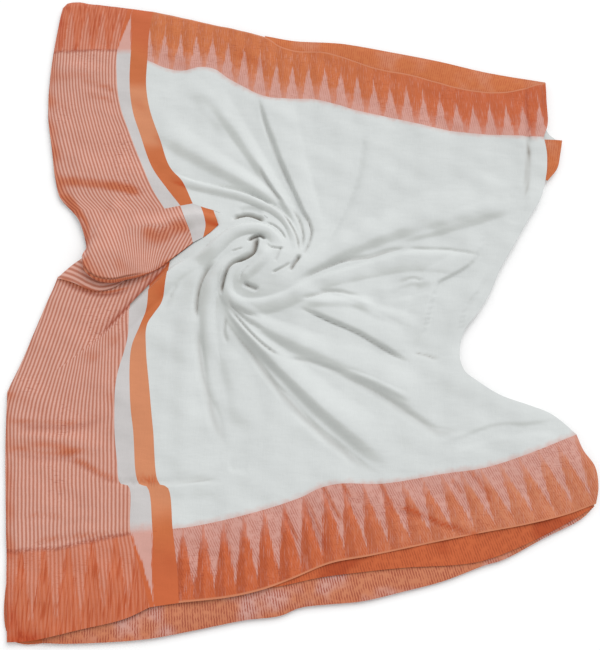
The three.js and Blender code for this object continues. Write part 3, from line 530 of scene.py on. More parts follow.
def over_grid(function, grid):
    return function(grid.reshape(-1, 2)).reshape(grid.shape[:2])


# -------- meshes


def to_metres(points):
    return (np.asarray(points) + (*TO_MIDDLE, 0)) * MM


def new_object(name, points, faces, smooth=True):
    mesh = bpy.data.meshes.new(name)
    mesh.from_pydata(points.tolist(), [], faces)
    mesh.validate()
    mesh.polygons.foreach_set("use_smooth", [smooth] * len(mesh.polygons))
    piece = bpy.data.objects.new(name, mesh)
    bpy.context.scene.collection.objects.link(piece)
    return piece


def grid_faces(rows, columns, first=0, flip=False):
    i, j = np.meshgrid(np.arange(rows - 1), np.arange(columns - 1), indexing="ij")
    a = (first + i * columns + j).ravel()
    quads = np.stack([a, a + 1, a + columns + 1, a + columns], 1)
    return quads[:, ::-1] if flip else quads


def rim_loop(rows, columns):
    """The vertices round a grid's edge, counter-clockwise."""
    bottom = np.arange(columns)
    right = np.arange(1, rows) * columns + columns - 1
    top = (rows - 1) * columns + np.arange(columns - 2, -1, -1)
    left = np.arange(rows - 2, 0, -1) * columns
    return np.concatenate([bottom, right, top, left])


def set_vectors(mesh, name, values):
    layer = mesh.attributes.new(name, "FLOAT_VECTOR", "POINT")
    layer.data.foreach_set("vector", np.asarray(values, np.float32).ravel())


def thin_shell(name, outer, inner, weave):
    """A closed thin shell from a grid of outer points and one of inner points. weave holds
    the stripe's number, the tooth's number and the share across the border at each point."""
    rows, columns = outer.shape[:2]
    count = rows * columns
    points = to_metres(np.concatenate([outer.reshape(-1, 3), inner.reshape(-1, 3)]))
    loop = rim_loop(rows, columns)
    after = np.roll(loop, -1)
    rim = np.stack([loop, loop + count, after + count, after], 1)
    faces = np.concatenate([
        grid_faces(rows, columns), grid_faces(rows, columns, count, flip=True), rim])
    piece = new_object(name, points, faces.tolist())
    weave = weave.reshape(-1, 3)
    set_vectors(piece.data, "weave", np.concatenate([weave, weave]))
    # painted shade for the materials: how deep in a crease, and how far the cloth slopes away from the
    # light
    shade = np.zeros((2, count, 3))
    shade[0, :, 0] = hollow(outer[..., :2].reshape(-1, 2))
    shade[0, :, 1] = lee(outer).ravel()
    set_vectors(piece.data, "shade", shade)
    mark_rim_sharp(piece.data, loop, count)
    return piece


def mark_rim_sharp(mesh, loop, count):
    on_rim = np.zeros(2 * count, bool)
    on_rim[loop] = True
    on_rim[loop + count] = True
    ends = np.zeros(2 * len(mesh.edges), np.int64)
    mesh.edges.foreach_get("vertices", ends)
    ends = ends.reshape(-1, 2)
    same_face = (ends[:, 0] < count) == (ends[:, 1] < count)
    sharp = on_rim[ends].all(1) & same_face
    mesh.edges.foreach_set("use_edge_sharp", sharp.tolist())


# -------- materials

CLOTH_SHARE = 0.85           # dims the colours below, which the light would make too bright


def rgb(red, green, blue):
    """A display colour, from 0 to 255, as the linear colour that a shader takes."""
    linear = [CLOTH_SHARE * ((c / 255 + 0.055) / 1.055) ** 2.4 for c in (red, green, blue)]
    return (*linear, 1)


WHITE = rgb(219, 223, 222)
MARGIN_WHITE = rgb(208, 204, 203)
STRIPE_PALE = rgb(226, 174, 158)
STRIPE_DARK = rgb(192, 122, 100)
BAND_ORANGE = rgb(205, 112, 64)
BAND_BLEACHED = rgb(217, 142, 102)
BORDER_ORANGE = rgb(206, 104, 60)
BORDER_AMBER = rgb(210, 120, 70)
BORDER_LIGHT = rgb(212, 134, 98)
TOOTH_PALE = rgb(218, 166, 154)
DEEP_ORANGE = rgb(186, 82, 42)
DARK_RED = rgb(140, 48, 22)
RIB_BROWN = rgb(170, 84, 62)
# Painted shade: what the bottom of a crease, and a slope away from the light, keep of the cloth's colour.
CREASE_SHADE = {"white": (0.34, 0.27, 0.22, 1), "orange": (0.55, 0.24, 0.15, 1)}
LEE_SHADE = {"white": (0.93, 0.93, 0.91, 1), "orange": (0.98, 0.58, 0.36, 1)}


class Look:
    """A material and the short ways in which its nodes are written."""

    def __init__(self, name, roughness=0.85):
        self.material = bpy.data.materials.new(name)
        self.material.use_nodes = True
        self.tree = self.material.node_tree
        self.shader = self.tree.nodes["Principled BSDF"]
        self.shader.inputs["Roughness"].default_value = roughness
        self.shader.inputs["Specular IOR Level"].default_value = 0.25
        self.shader.inputs["Sheen Weight"].default_value = 0.15
        self.shader.inputs["Sheen Roughness"].default_value = 0.5
        self.stripe, self.tooth, self.border = self.parts_of(self.attribute("weave"))
        self.hollow, self.lee, _ = self.parts_of(self.attribute("shade"))
        self.place = self.node("ShaderNodeTexCoord").outputs["Object"]

    def node(self, kind, settings=None):
        node = self.tree.nodes.new(kind)
        for key, value in (settings or {}).items():
            setattr(node, key, value)
        return node

    def join(self, source, socket):
        if isinstance(source, bpy.types.NodeSocket):
            self.tree.links.new(source, socket)
        else:
            socket.default_value = source

    def attribute(self, name):
        return self.node("ShaderNodeAttribute", {"attribute_name": name}).outputs["Vector"]

    def parts_of(self, vector):
        node = self.node("ShaderNodeSeparateXYZ")
        self.join(vector, node.inputs[0])
        return node.outputs

    def math(self, operation, *values):
        node = self.node("ShaderNodeMath", {"operation": operation})
        for value, socket in zip(values, node.inputs):
            self.join(value, socket)
        return node.outputs[0]

    def plus(self, a, b):
        return self.math("ADD", a, b)

    def times(self, a, b):
        return self.math("MULTIPLY", a, b)

    def step(self, value, low, high):
        """A smooth step from 0 to 1 as value goes from low to high."""
        node = self.node("ShaderNodeMapRange", {"interpolation_type": "SMOOTHSTEP"})
        for socket, source in zip(node.inputs, (value, low, high, 0.0, 1.0)):
            self.join(source, socket)
        return node.outputs[0]

    def mix(self, share, a, b, blend="MIX"):
        node = self.node("ShaderNodeMix", {"data_type": "RGBA", "blend_type": blend})
        self.join(share, node.inputs[0])
        self.join(a, node.inputs[6])
        self.join(b, node.inputs[7])
        return node.outputs[2]

    def noise(self, size, detail=2.0, stretch=(1, 1, 1)):
        """Noise from 0 to 1 whose lumps are about size millimetres, stretched along axes."""
        mapping = self.node("ShaderNodeMapping")
        self.join(self.place, mapping.inputs["Vector"])
        mapping.inputs["Scale"].default_value = [1 / (MM * size * s) for s in stretch]
        node = self.node("ShaderNodeTexNoise")
        self.join(mapping.outputs[0], node.inputs["Vector"])
        node.inputs["Scale"].default_value = 1.0
        node.inputs["Detail"].default_value = detail
        return node.outputs["Fac"]

    def bump(self, height, distance, strength, below=None):
        """distance is how high, in millimetres, a height of 1 stands."""
        node = self.node("ShaderNodeBump")
        node.inputs["Strength"].default_value = strength
        node.inputs["Distance"].default_value = distance * MM
        self.join(height, node.inputs["Height"])
        if below is not None:
            self.join(below, node.inputs["Normal"])
        return node.outputs[0]

    def threads(self):
        """The plain weave's bump over the cloth's crinkle and slubs."""
        crinkle = self.bump(self.noise(16, 3.0, (2.2, 0.8, 1)), 1.6, 0.55)
        slub = self.bump(self.noise(1.6, 2.0, (0.35, 9, 1)), 0.25, 0.5, crinkle)
        return self.bump(self.noise(0.7, 1.0), 0.12, 0.5, slub)

    def finish(self, colour, cloth="orange"):
        """The colour with the yarn's unevenness and the folds' painted shade, over the weave."""
        uneven = self.math("MULTIPLY_ADD", self.noise(70, 3.0), 0.16, 0.92)
        slubs = self.math("MULTIPLY_ADD", self.noise(1.4, 2.0, (0.5, 14, 1)), 0.10, 0.95)
        tone = self.times(uneven, slubs)
        grey = self.node("ShaderNodeCombineColor")
        for socket in grey.inputs:
            self.join(tone, socket)
        colour = self.mix(1.0, colour, grey.outputs[0], "MULTIPLY")
        # painted shade: darker on slopes away from the light, and darkest deep in a crease
        colour = self.mix(self.lee, colour, LEE_SHADE[cloth], "MULTIPLY")
        deep = self.times(self.math("POWER", self.hollow, 1.6), 0.8)
        colour = self.mix(deep, colour, CREASE_SHADE[cloth], "MULTIPLY")
        self.join(colour, self.shader.inputs["Base Color"])
        self.join(self.threads(), self.shader.inputs["Normal"])
        return self.material

    def stripes(self):
        """Pale and orange stripes, one of each for every whole stripe number."""
        sway = self.plus(self.wobble(0.14), self.wobble(0.9, 90))
        wave = self.math("PINGPONG", self.plus(self.stripe, sway), 0.5)
        return self.step(wave, 0.11, 0.39)

    def ribs(self):
        """Fine broken ribs, one for every whole stripe number."""
        wave = self.math("PINGPONG", self.plus(self.stripe, self.wobble(0.7)), 0.5)
        worn = self.step(self.noise(9, 2.0), 0.3, 0.6)
        return self.times(self.step(wave, 0.14, 0.36), worn)

    def crinkle_shade(self, low=0.5):
        """Short dark dashes across the stripes, in patches: painted shade of the cloth's crinkles."""
        fine = self.step(self.noise(1.9, 1.0, (4.5, 0.7, 1)), 0.58, 0.70)
        patch = self.step(self.noise(70, 1.0), low, low + 0.2)
        return self.times(self.times(fine, patch), 0.4)

    def wobble(self, amount, size=5):
        return self.times(self.math("SUBTRACT", self.noise(size), 0.5), amount)

    def teeth(self, height, fullness, ragged=0.34):
        """Where a pale temple tooth lies: widest at the border's inner line, with its tip
        towards the selvedge at that share of the border."""
        streak = self.noise(2.2, 1.0, (0.6, 9, 1))
        uneven = self.times(self.math("SUBTRACT", streak, 0.5), ragged)
        from_axis = self.math("PINGPONG", self.tooth, 0.5)
        shrink = self.math("MULTIPLY_ADD", self.math("DIVIDE", self.border, height), -0.5, 0.5)
        reach = self.plus(self.times(shrink, fullness), uneven)
        return self.step(self.math("SUBTRACT", reach, from_axis), -0.03, 0.07)

    def in_border(self, soft=0.03):
        return self.step(self.border, -soft, soft)


def plain_look(name, ground):
    """Undyed cloth, pink where the border's dye has bled into it."""
    look = Look(name)
    bleed = look.step(look.plus(look.border, look.wobble(0.12, 12)), -0.14, 0.02)
    colour = look.mix(look.times(bleed, 0.8), ground, TOOTH_PALE)
    colour = look.mix(look.in_border(), colour, look.mix(look.teeth(0.95, 1.0),
                                                         BORDER_ORANGE, TOOTH_PALE))
    return look.finish(colour, "white")


def pallu_look():
    look = Look("pallu_stripes")
    ground = look.mix(look.stripes(), STRIPE_PALE, STRIPE_DARK)
    # painted shade of the crinkles, in short dark dashes
    ground = look.mix(look.crinkle_shade(), ground, DARK_RED)
    pale = look.mix(0.5, ground, BORDER_ORANGE)
    deep = look.mix(0.8, ground, BORDER_ORANGE)
    streak = look.step(look.noise(4, 2.0, (0.7, 12, 1)), 0.48, 0.66)
    deep = look.mix(look.times(streak, 0.9), deep, DEEP_ORANGE)
    bordered = look.mix(look.teeth(0.85, 0.9, 0.5), deep, pale)
    edge = look.math("ABSOLUTE", look.plus(look.border, look.wobble(0.06, 20)))
    seam = look.times(look.step(edge, 0.05, 0.0), look.step(look.noise(3), 0.3, 0.6))
    colour = look.mix(look.in_border(0.04), ground, bordered)
    return look.finish(look.mix(look.times(seam, 0.5), colour, DARK_RED))


def band_look():
    look = Look("orange_band", roughness=0.8)
    worn = look.plus(look.tooth, look.wobble(0.6, 60))
    colour = look.mix(look.step(worn, 0.1, 0.9), BAND_ORANGE, BAND_BLEACHED)
    # painted shade of the crinkles, in short dark dashes
    colour = look.mix(look.times(look.crinkle_shade(0.55), 0.7), colour, DARK_RED)
    return look.finish(look.mix(look.step(look.border, -0.1, 0.5), colour, BORDER_ORANGE))


def border_look(name, orange, far_orange, height, fullness, rib_share, two_tone):
    """Orange with pale teeth. The orange changes towards +X, where the dye is weaker, and
    each wedge between two teeth is darker on its left by the share two_tone."""
    look = Look(name, roughness=0.82)
    far = look.step(look.parts_of(look.place)[0], -0.05, 0.35)
    ground = look.mix(far, orange, far_orange)
    ribs = look.times(look.ribs(), rib_share)
    pale = look.mix(ribs, TOOTH_PALE, RIB_BROWN)
    deep = look.mix(ribs, ground, DEEP_ORANGE)
    left = look.step(look.math("FRACT", look.plus(look.tooth, look.wobble(0.3))), 0.56, 0.4)
    left = look.times(left, look.math("MULTIPLY_ADD", far, -0.55, 1.0))
    deep = look.mix(look.times(left, two_tone), deep, DARK_RED)
    bled = look.step(look.plus(look.border, look.wobble(0.5, 12)), 0.45, -0.05)
    deep = look.mix(look.times(bled, 0.5), deep, TOOTH_PALE)
    streak = look.step(look.noise(2.4, 2.0, (0.7, 8, 1)), 0.5, 0.75)
    deep = look.mix(look.times(streak, 0.35), deep, TOOTH_PALE)
    colour = look.mix(look.times(look.teeth(height, fullness), 0.85), deep, pale)
    # painted shade of the crinkles, in short dark dashes
    colour = look.mix(look.times(look.crinkle_shade(0.45), 0.8), colour, DARK_RED)
    return look.finish(look.mix(look.step(look.border, 0.965, 0.985), colour, BORDER_LIGHT))


def under_look(name, dark, pale, line, ribs):
    """Ribbed cloth, paler in patches."""
    look = Look(name)
    patch = look.step(look.noise(60, 2.0), 0.46, 0.66)
    ground = look.mix(patch, dark, pale)
    return look.finish(look.mix(look.times(look.ribs(), ribs), ground, line))


def stack_look():
    look = Look("folded_edges", roughness=0.9)
    return look.finish(look.mix(look.stripe, WHITE, BORDER_ORANGE))


LOOKS = {
    "pallu": pallu_look(),
    "margin": plain_look("plain_margin", MARGIN_WHITE),
    "band": band_look(),
    "field": plain_look("plain_field", WHITE),
    "border_top": border_look("temple_border_top", BORDER_AMBER, BORDER_ORANGE, height=0.70,
                              fullness=0.84, rib_share=0.3, two_tone=0.14),
    "border_bottom": border_look("temple_border_bottom", BORDER_ORANGE, BORDER_LIGHT, height=0.86,
                                 fullness=1.0, rib_share=0.52, two_tone=0.32),
    "under_top": under_look("border_below_top", BORDER_AMBER, BORDER_LIGHT, DEEP_ORANGE, 0.5),
    "under_1": under_look("border_below_1", BORDER_ORANGE, DEEP_ORANGE, DARK_RED, 0.45),
    "under_2": under_look("border_below_2", BORDER_LIGHT, TOOTH_PALE, RIB_BROWN, 0.9),
    "stack": stack_look(),
}

# -------- pattern coordinates


def height_between(xy, low, high):
    """The share of the way from one line to another, along +Y, at each plan point."""
    a, b = (np.array(BORDER_LINES[name], float) for name in (low, high))
    y_low = np.interp(xy[..., 0], a[:, 0], a[:, 1])
    y_high = np.interp(xy[..., 0], b[:, 0], b[:, 1])
    return (xy[..., 1] - y_low) / (y_high - y_low)


NO_BORDER = -1.0             # the share across a border, for cloth that is far from one


def weave_of(stripe, tooth, border):
    return np.stack(np.broadcast_arrays(stripe, tooth, border), -1)


def across_and_up(grid):
    rows, columns = grid.shape[:2]
    return np.meshgrid(np.linspace(0, 1, columns), np.linspace(0, 1, rows))


# -------- pieces


def dress(piece, node, look):
    """Gives a piece its material and body, and hides the node's own part."""
    piece.data.materials.append(LOOKS[look])
    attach(piece, "root")
    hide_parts(node)


def add_sheet(node, outer, inner, weave, look=None):
    """A sheet of cloth in place of a node, whose first word says which slot it is in."""
    piece = thin_shell("cloth_" + node, outer, inner, weave)
    first_word = node.split("_")[0]
    slot = "border" if first_word == "under" else first_word
    dress(piece, node, look or slot)


def cloth_patch(node, sides, weave,
                look=None, height=surface):
    grid = plan_grid(*sides)
    outer = np.dstack([grid, over_grid(height, grid)])
    add_sheet(node, outer, outer - (0, 0, CLOTH), weave(grid), look)


# How finely each grid is divided.
FINE = {"upper": 66, "upper_border": 12, "lower": 84, "lower_border": 12, "lobe": 36,
        "pallu": 56, "narrow": 8, "body": 186, "lobe_columns": 60, "flap": 56, "flap_margin": 24,
        "pocket_rows": 20, "pocket": 40, "border": 24, "under_rows": 16}
UPPER_SHARES = start_shares(FINE["upper"], 1.35)
LOWER_SHARES = end_shares(FINE["lower"], 1.45)
UPPER_TOTAL = start_shares(FINE["upper"] + FINE["upper_border"], 1.2)
LOWER_TOTAL = end_shares(FINE["lower"] + FINE["lower_border"], 1.3)

STRIPES_ACROSS = {"dip": 27, "top": 20.5}

# The teeth stand evenly along +X: the place of one tooth's middle, the pitch, and how far
# their tips lean towards +X at the left and the right, with the change between two places.
TEETH = {
    "top": {"middle": -247.4, "pitch": 29.3, "lean": (0, 0)},
    "bottom": {"middle": -129.7, "pitch": 30.16, "lean": (6, 36)},
    "pallu": {"middle": -433.8, "pitch": 35.6, "lean": (0, 0)},
}
LEAN_CHANGES = (-150, 330)

# The lower pallu's stripes: they draw together away from this level, by this share a
# millimetre; they end along this line; towards the border they fan out; and towards the
# flap they bend to its slant.
LOWER_STRIPES = {"level": -339, "taper": 0.00027, "end": -259, "fan_x": (-400, -262),
                 "fan": [(-509, 12), (-457, 7), (-426, 5), (-403, 0)],
                 "slant": 0.32, "bend_y": (-250, -190), "bend_x": (-400, -290)}
TEETH_LEVEL = -427           # where the lower pallu's teeth stand at their pitch
POCKET_STRIPES = {"count": 5.5, "slant": 0.8}
MARGIN_TOOTH = 0.95          # the margin's width, in teeth
BAND_FADE = 50               # how far below the top of its bleached stretch the band darkens


def flap_slant(y):
    """How far the stripes have swung towards +X at a height y, above where they bend."""
    low, high = LOWER_STRIPES["bend_y"]
    over = np.clip(y - low, 0, high - low)
    return LOWER_STRIPES["slant"] * (over ** 2 / (2 * (high - low)) + np.maximum(y - high, 0))


def upright(grid, level):
    return grid[..., 0] / (1 + LOWER_STRIPES["taper"] * (grid[..., 1] - level))


def tooth_number(x, share, teeth):
    lean = mix(*teeth["lean"], smooth_step(*LEAN_CHANGES, x))
    return (x - lean * share - teeth["middle"]) / teeth["pitch"]


def top_border(grid):
    return height_between(grid, "top_inner", "top_selvedge")


def bottom_border(grid):
    return height_between(grid, "bottom_inner", "bottom_selvedge")


def upper_weave(grid):
    u, v = across_and_up(grid)
    stripe = (1 - u) * mix(STRIPES_ACROSS["dip"], STRIPES_ACROSS["top"], v)
    return weave_of(stripe, tooth_number(grid[..., 0], 0, TEETH["top"]), top_border(grid))


def lower_weave(grid):
    fan_y, fan = np.transpose(LOWER_STRIPES["fan"])
    right = smooth_step(*LOWER_STRIPES["fan_x"], grid[..., 0])
    bend = 1 - smooth_step(*LOWER_STRIPES["bend_x"], grid[..., 0])
    shift = np.interp(grid[..., 1], fan_y, fan) * right + flap_slant(grid[..., 1]) * bend
    stripe = LOWER_STRIPES["end"] + shift - upright(grid, LOWER_STRIPES["level"])
    tooth = tooth_number(upright(grid, TEETH_LEVEL), 0, TEETH["pallu"])
    return weave_of(stripe / STRIPE_PITCH, tooth, bottom_border(grid))


def margin_weave(border):
    """One tooth as wide as the margin."""
    def weave(grid):
        u, _ = across_and_up(grid)
        return weave_of(0.0, MARGIN_TOOTH * (u - 0.5), border(grid))
    return weave


def band_weave(border, bleached, ramp):
    """The band's dye is weaker between two levels of y, growing so over the ramp."""
    def weave(grid):
        y = grid[..., 1]
        low, high = bleached
        share = smooth_step(low, low + ramp, y) * (1 - smooth_step(high - BAND_FADE, high, y))
        return weave_of(0.0, share, border(grid))
    return weave


def ends_between(lines, which, count):
    """Straight ends between neighbouring lines, at their first or last points."""
    return [straight(a[which], b[which], count) for a, b in zip(lines, lines[1:])]


def add_end_piece(part, lines, lows, tops, weave, border, bleached, ramp):
    """The striped stretch, the margin and the band of one part, from left to right: between
    four lines, with a low and a top end for each."""
    weaves = (weave, margin_weave(border), band_weave(border, bleached, ramp))
    for k, kind in enumerate(("pallu", "margin", "band")):
        cloth_patch(f"{kind}_{part}", (lines[k], lines[k + 1], lows[k], tops[k]),
                    weaves[k])


def add_upper_end_piece():
    wide, narrow = FINE["pallu"], FINE["narrow"]
    lines = stations_on(UPPER_TOTAL, "end_upper", "stripe_upper", "band_left_upper")
    lines.append(joined(stations("band_right_upper", UPPER_SHARES),
                        stations("band_right_top", FINE["upper_border"])))
    lows = [stations("dip_pallu", wide), *stations_on(narrow, "dip_margin", "dip_band")]
    tops = [stations("top_left_corner", wide), *ends_between(lines[1:], -1, narrow)]
    add_end_piece("upper", lines, lows, tops, upper_weave, top_border, (230, 400), 50)


def add_lower_end_piece():
    wide, narrow = FINE["pallu"], FINE["narrow"]
    lines = stations_on(LOWER_TOTAL, "end_lower", "stripe_lower", "band_left_lower")
    lines.append(joined(stations("band_right_bottom", FINE["lower_border"]),
                        stations("band_right_lower", LOWER_SHARES)))
    lows = [stations("bottom_pallu", wide), *ends_between(lines[1:], 0, narrow)]
    tops = [stations("overlap_flap", wide),
            *stations_on(narrow, "overlap_margin", "overlap_band")]
    add_end_piece("lower", lines, lows, tops, lower_weave, bottom_border, (-430, -60), 110)


def flap_weave(grid):
    stripe = (LOWER_STRIPES["end"] + flap_slant(grid[..., 1])
              - upright(grid, LOWER_STRIPES["level"]))
    return weave_of(stripe / STRIPE_PITCH, 0.0, NO_BORDER)


def pocket_weave(grid):
    u, v = across_and_up(grid)
    stripe = v * POCKET_STRIPES["count"] + u * POCKET_STRIPES["slant"]
    return weave_of(stripe, 0.0, NO_BORDER)


def add_flap_and_pocket():
    rows, low_rows = FINE["flap"], FINE["flap_margin"]
    right = joined(stations("overlap_margin", low_rows),
                   stations("overlap_band", rows - low_rows))
    cloth_patch("pallu_flap",
                (stations("flap_end", rows), right,
                 *stations_on(FINE["pallu"], "overlap_flap", "flap_top")),
                flap_weave)
    cloth_patch("pallu_pocket",
                (*stations_on(FINE["pocket_rows"], "pocket_end", "pocket_inner"),
                 *stations_on(FINE["pocket"], "pocket_edge", "pocket_top")),
                pocket_weave,
                height=lambda xy: surface(xy) + POCKET_LIFT)


# -------- the rolled fold


def lobe_swell(across, up):
    """How far the rolled fold stands above the layer that it came from. Towards the
    rosette its rolled lower edge opens out into a valley and a low apron."""
    crest = mix(LOBE["crest_low"], LOBE["crest_high"], up)
    from_end = mix(1, smooth_step(0, crest, across), smooth_step(0, LOBE["top"], up))
    to_rosette = 1 - LOBE["dip"] * smooth_step(LOBE["dip_from"], 1, across)
    shoulder = mix(LOBE["shoulder"], 1, np.sin(np.minimum(up / LOBE["top"], 1) * math.pi / 2))
    rolled = np.where(up < LOBE["top"], shoulder, 1 - smooth_step(LOBE["top"], 1, up))
    ridge = smooth_step(LOBE["valley"], LOBE["ridge"], up) * (1 - smooth_step(LOBE["ridge"], 1, up))
    opened = mix(LOBE["apron"], 1, ridge) * (1 - smooth_step(LOBE["ridge"], 1, up))
    section = mix(rolled, opened, smooth_step(*LOBE["opening"], across))
    return LOBE["height"] * from_end * to_rosette * section


# The stripes' lean above and below the valley, and where across the fold the second begins.
LOBE_SWING = {"down": 0.47, "back": 0.9, "valley": 92, "across": (0.35, 0.8)}


def lobe_weave(grid):
    """The upper pallu's stripes, which swing to the right down the fold, and back to the
    left below its valley."""
    u, _ = across_and_up(grid)
    x, y = grid[..., 0], grid[..., 1]
    under = np.maximum(LOBE_SWING["valley"] - y, 0) * smooth_step(*LOBE_SWING["across"], u)
    (left, level), *_, (right, _) = CURVES["dip_pallu"]
    swing = LOBE_SWING["down"] * (level - y) - LOBE_SWING["back"] * under
    stripe = (right - x + swing) * STRIPES_ACROSS["dip"] / (right - left)
    return weave_of(stripe, 0.0, NO_BORDER)


ROLL_ANGLES = np.radians(np.linspace(-110, 90, 15))
LOBE_BREADTH = {"stripe": 0.76, "band": 0.91}      # where the margin lies across the fold


def lobe_patch(node, sides, share_from, share_to):
    """A strip of the rolled fold, between two shares of its breadth."""
    grid = plan_grid(*sides)
    u, v = across_and_up(grid)
    across = mix(share_from, share_to, u)
    ground = over_grid(surface, grid)
    inward = grid[1] - grid[0]
    inward = inward / np.hypot(*inward.T)[:, None]
    swell = lobe_swell(across[0], v[0])
    radius = LOBE["roll"] * swell
    centre = np.column_stack([grid[0] + inward * radius[:, None], ground[0] + swell - radius])

    def layer(depth):
        rings = []
        for angle in ROLL_ANGLES:
            out = (radius - depth) * math.cos(angle)
            rise = (radius - depth) * math.sin(angle)
            rings.append(centre + np.column_stack([-inward * out[:, None], rise]))
        sheet = np.dstack([grid, ground + lobe_swell(across, v) - depth])[1:]
        return np.concatenate([np.array(rings), sheet])

    rolled = np.repeat(lobe_weave(grid)[:1], len(ROLL_ANGLES), axis=0)
    weave = np.concatenate([rolled, lobe_weave(grid)[1:]])
    add_sheet(node, layer(0), layer(CLOTH), weave)


def add_lobe():
    rows, columns = FINE["lobe"], FINE["lobe_columns"]
    end, stripe, band = stations_on(rows, "lobe_end", "lobe_stripe", "lobe_band")
    lobe_patch("pallu_lobe",
               (end, stripe,
                joined(stations("lobe_roll", columns), stations("lobe_under_body", 12)),
                joined(stations("dip_pallu", columns), stations("dip_margin", 12))),
               0, LOBE_BREADTH["stripe"])
    lobe_patch("margin_lobe",
               (stripe, band, stations("lobe_margin_edge", 12),
                joined(*stations_on(6, "dip_band", "dip_margin_body"))),
               LOBE_BREADTH["stripe"], LOBE_BREADTH["band"])
    lobe_patch("band_lobe",
               (band, joined(stations("lobe_right_low", 18), stations("lobe_right_high", rows - 18)),
                *stations_on(8, "lobe_band_edge", "dip_band_body")),
               LOBE_BREADTH["band"], 1)


# -------- the white body

BODY_COLUMNS = middle_shares(FINE["body"], middle=0.25, spread=0.16, crowding=1.8)
BLEED = {"start": 0.04, "reach": 100}


# The body's left side past the rolled fold, upwards: curves, steps, and -1 where reversed.
PAST_THE_LOBE = [("lobe_under_body", 24, 1), ("lobe_margin_edge", 10, 1),
                 ("lobe_band_edge", 10, 1), ("lobe_right_low", 12, 1),
                 ("lobe_right_high", 16, 1), ("dip_band_body", 10, -1),
                 ("dip_margin_body", 8, -1)]


def body_left():
    past = [stations(name, steps)[::way] for name, steps, way in PAST_THE_LOBE]
    return joined(stations("band_right_lower", LOWER_SHARES), *past,
                  stations("band_right_upper", UPPER_SHARES))


def field_weave(grid):
    """The border's share just inside each border, for the dye that has bled."""
    inside = np.minimum(*(
        over_grid(lambda xy: nearest_on_line(smooth_line(CURVES[name], steps=6), xy)[2], grid)
        for name in ("top_inner", "bottom_inner")))
    return weave_of(0.0, 0.0, -inside / BLEED["reach"] - BLEED["start"])


def border_weave(teeth, outwards, slant):
    """Teeth, ribs that slant towards +X, and the share across the border."""
    def weave(grid):
        _, v = across_and_up(grid)
        share = v if outwards else 1 - v
        x, y = grid[..., 0], grid[..., 1]
        return weave_of((x + slant * y) / RIB_PITCH, tooth_number(x, share, teeth), share)
    return weave


def add_body():
    left = body_left()
    rows = middle_shares(len(left) - 1, middle=0.5, spread=0.3, crowding=0.3)
    top_selvedge, top_inner, bottom_inner, bottom_selvedge = stations_on(
        BODY_COLUMNS, "top_selvedge", "top_inner", "bottom_inner", "bottom_selvedge")
    cloth_patch("field",
                (left, stations("body_right", rows), bottom_inner, top_inner),
                field_weave)
    cloth_patch("border_top",
                (*stations_on(FINE["border"], "band_right_top", "top_right_end"),
                 top_inner, top_selvedge),
                border_weave(TEETH["top"], outwards=True, slant=0.15),
                look="border_top")
    cloth_patch("border_bottom",
                (*stations_on(FINE["border"], "band_right_bottom", "bottom_right_end"),
                 bottom_selvedge, bottom_inner),
                border_weave(TEETH["bottom"], outwards=False, slant=0.5),
                look="border_bottom")


# -------- the layers below


def under_weave(grid):
    _, v = across_and_up(grid)
    lengths = lengths_along(grid[len(grid) // 2])
    return weave_of(lengths[None, :] / RIB_PITCH, 0.0, 1 - v)


def add_under_strip(node, level, curve, steps, outwards, look):
    """A strip between its outer and inner curve. outwards says whether it faces +Y."""
    outer, inner = stations_on(steps, curve + "_outer", curve + "_inner")
    bottom, top = (inner, outer) if outwards else (outer, inner)
    ends = [straight(bottom[k], top[k], FINE["under_rows"]) for k in (0, -1)]
    cloth_patch(node, (*ends, bottom, top), under_weave, look=look,
                height=lambda xy: level - edge_drop(xy))


def add_under_layers():
    add_under_strip("under_top", UNDER_1_TOP, "under_top", 120, True, "under_top")
    add_under_strip("under_bottom_1", UNDER_1_TOP, "under_1", 180, False, "under_1")
    add_under_strip("under_bottom_2", UNDER_2_TOP, "under_2", 180, False, "under_2")
    inner, outer = stations_on(24, "under_right_inner", "under_right_outer")
    ends = [straight(inner[k], outer[k], 10) for k in (0, -1)]
    cloth_patch("under_right", (inner, outer, *ends), under_weave,
                look="under_top", height=lambda xy: UNDER_1_TOP - edge_drop(xy))


# -------- the hidden layers

STACK = {"lips": 7, "inset": 9, "groove": 1.4, "floor_inset": 13, "stations": 560,
         "middle": (-20, -80), "waves": (3, 7, 12, 19), "wave_height": (0.3, 1.2), "seed": 3,
         "orange": (330, 400)}
# One lip's section, from its groove to the next: how far in, and the share of its height.
LIP = [(STACK["groove"], 0.08), (0.3, 0.28), (0, 0.5), (0.3, 0.72)]
# The hidden rise under the mound: insets from the rim, then radii round the hub, with heights.
SHOULDER = [(34, 4.9), (122, 4.9), (138, 9.0)]
CROWN = [(145, 9.2), (105, 9.8), (70, 13), (40, 18), (16, 21)]
CROWN_TOP = 21.5


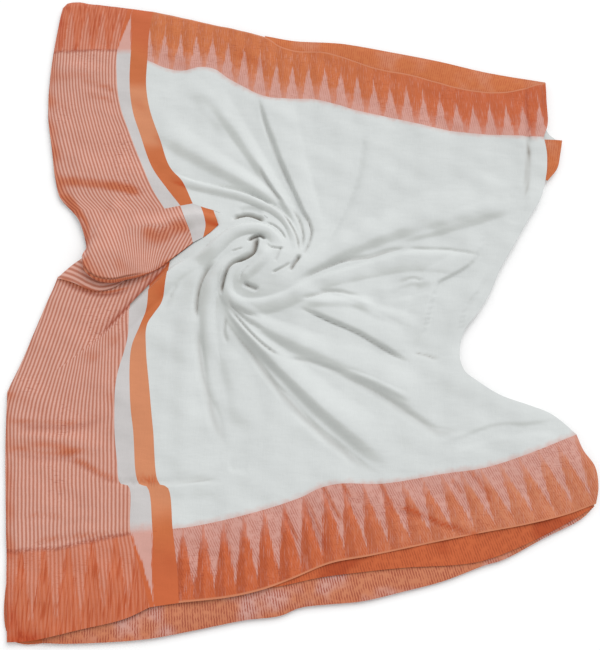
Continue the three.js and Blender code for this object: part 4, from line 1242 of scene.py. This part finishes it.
def add_stack():
    """The folded layers that don't show: one solid, with a lip for each layer's edge."""
    n = STACK["stations"]
    rim = curve_through(OUTLINE, closed=True)(np.linspace(0, 1, n, endpoint=False))
    middle = np.array(STACK["middle"], float)
    towards = middle - rim
    towards = towards / np.hypot(*towards.T)[:, None]
    turn = np.linspace(0, 2 * math.pi, n, endpoint=False)
    draw = np.random.default_rng(STACK["seed"])
    rings = []

    def ring(plan, height):
        rings.append(np.column_stack([plan, np.full(n, float(height))]))

    step = STACK_TOP / STACK["lips"]
    ring(rim + towards * STACK["floor_inset"], 0)
    for lip in range(STACK["lips"]):
        uneven = sum(draw.uniform(*STACK["wave_height"]) * np.sin(k * turn + draw.uniform(0, 6.3))
                     for k in STACK["waves"])
        for inset, share in LIP:
            inwards = towards * (STACK["inset"] + uneven + inset)[:, None]
            ring(rim + inwards, step * (lip + share))
    for inset, height in SHOULDER:
        ring(rim + towards * inset, height)
    for radius, height in CROWN:
        ring(HUB - towards * radius, height)
    points = np.vstack(rings + [[(*middle, 0)], [(*HUB, CROWN_TOP)]])
    here = np.arange(n)
    after = np.roll(here, -1)
    starts = n * np.arange(len(rings))
    quads = [np.stack([k + here, k + after, k + n + after, k + n + here], 1) for k in starts[:-1]]
    floor = np.stack([np.full(n, len(points) - 2), after, here], 1)
    crown = np.stack([np.full(n, len(points) - 1), starts[-1] + here, starts[-1] + after], 1)
    piece = new_object("cloth_stack", to_metres(points),
                       np.concatenate(quads).tolist() + floor.tolist() + crown.tolist())
    orange = smooth_step(*STACK["orange"], np.abs(points[:, 1]))
    set_vectors(piece.data, "weave", weave_of(orange, 0.0, 0.0))
    dress(piece, "hidden_layers", "stack")


# -------- floor and light

FLOOR = {"reach": 6, "colour": (0.96, 0.96, 0.96, 1)}    # reach in metres
SKY = {"colour": (1, 1, 1, 1), "strength": 0.72}


def add_sun():
    data = bpy.data.lights.new("key", "SUN")
    data.angle = math.radians(SUN["spread"])
    data.energy = SUN["power"]
    light = bpy.data.objects.new("key", data)
    light.rotation_euler = Vector(SUN["from"]).to_track_quat("Z", "Y").to_euler()
    light.location = Vector(SUN["from"]) * 2
    bpy.context.scene.collection.objects.link(light)


def add_studio():
    corners = [(-1, -1, 0), (1, -1, 0), (1, 1, 0), (-1, 1, 0)]
    floor = new_object("floor", np.array(corners) * FLOOR["reach"], [(0, 1, 2, 3)], smooth=False)
    look = bpy.data.materials.new("pale_floor")
    look.use_nodes = True
    shader = look.node_tree.nodes["Principled BSDF"]
    shader.inputs["Base Color"].default_value = FLOOR["colour"]
    shader.inputs["Roughness"].default_value = 1.0
    floor.data.materials.append(look)
    world = bpy.data.worlds.new("studio")
    world.use_nodes = True
    background = world.node_tree.nodes["Background"]
    background.inputs["Color"].default_value = SKY["colour"]
    background.inputs["Strength"].default_value = SKY["strength"]
    bpy.context.scene.world = world
    add_sun()
    bpy.context.scene.view_settings.view_transform = "Standard"


add_stack()
add_upper_end_piece()
add_lower_end_piece()
add_flap_and_pocket()
add_lobe()
add_body()
add_under_layers()
add_studio()
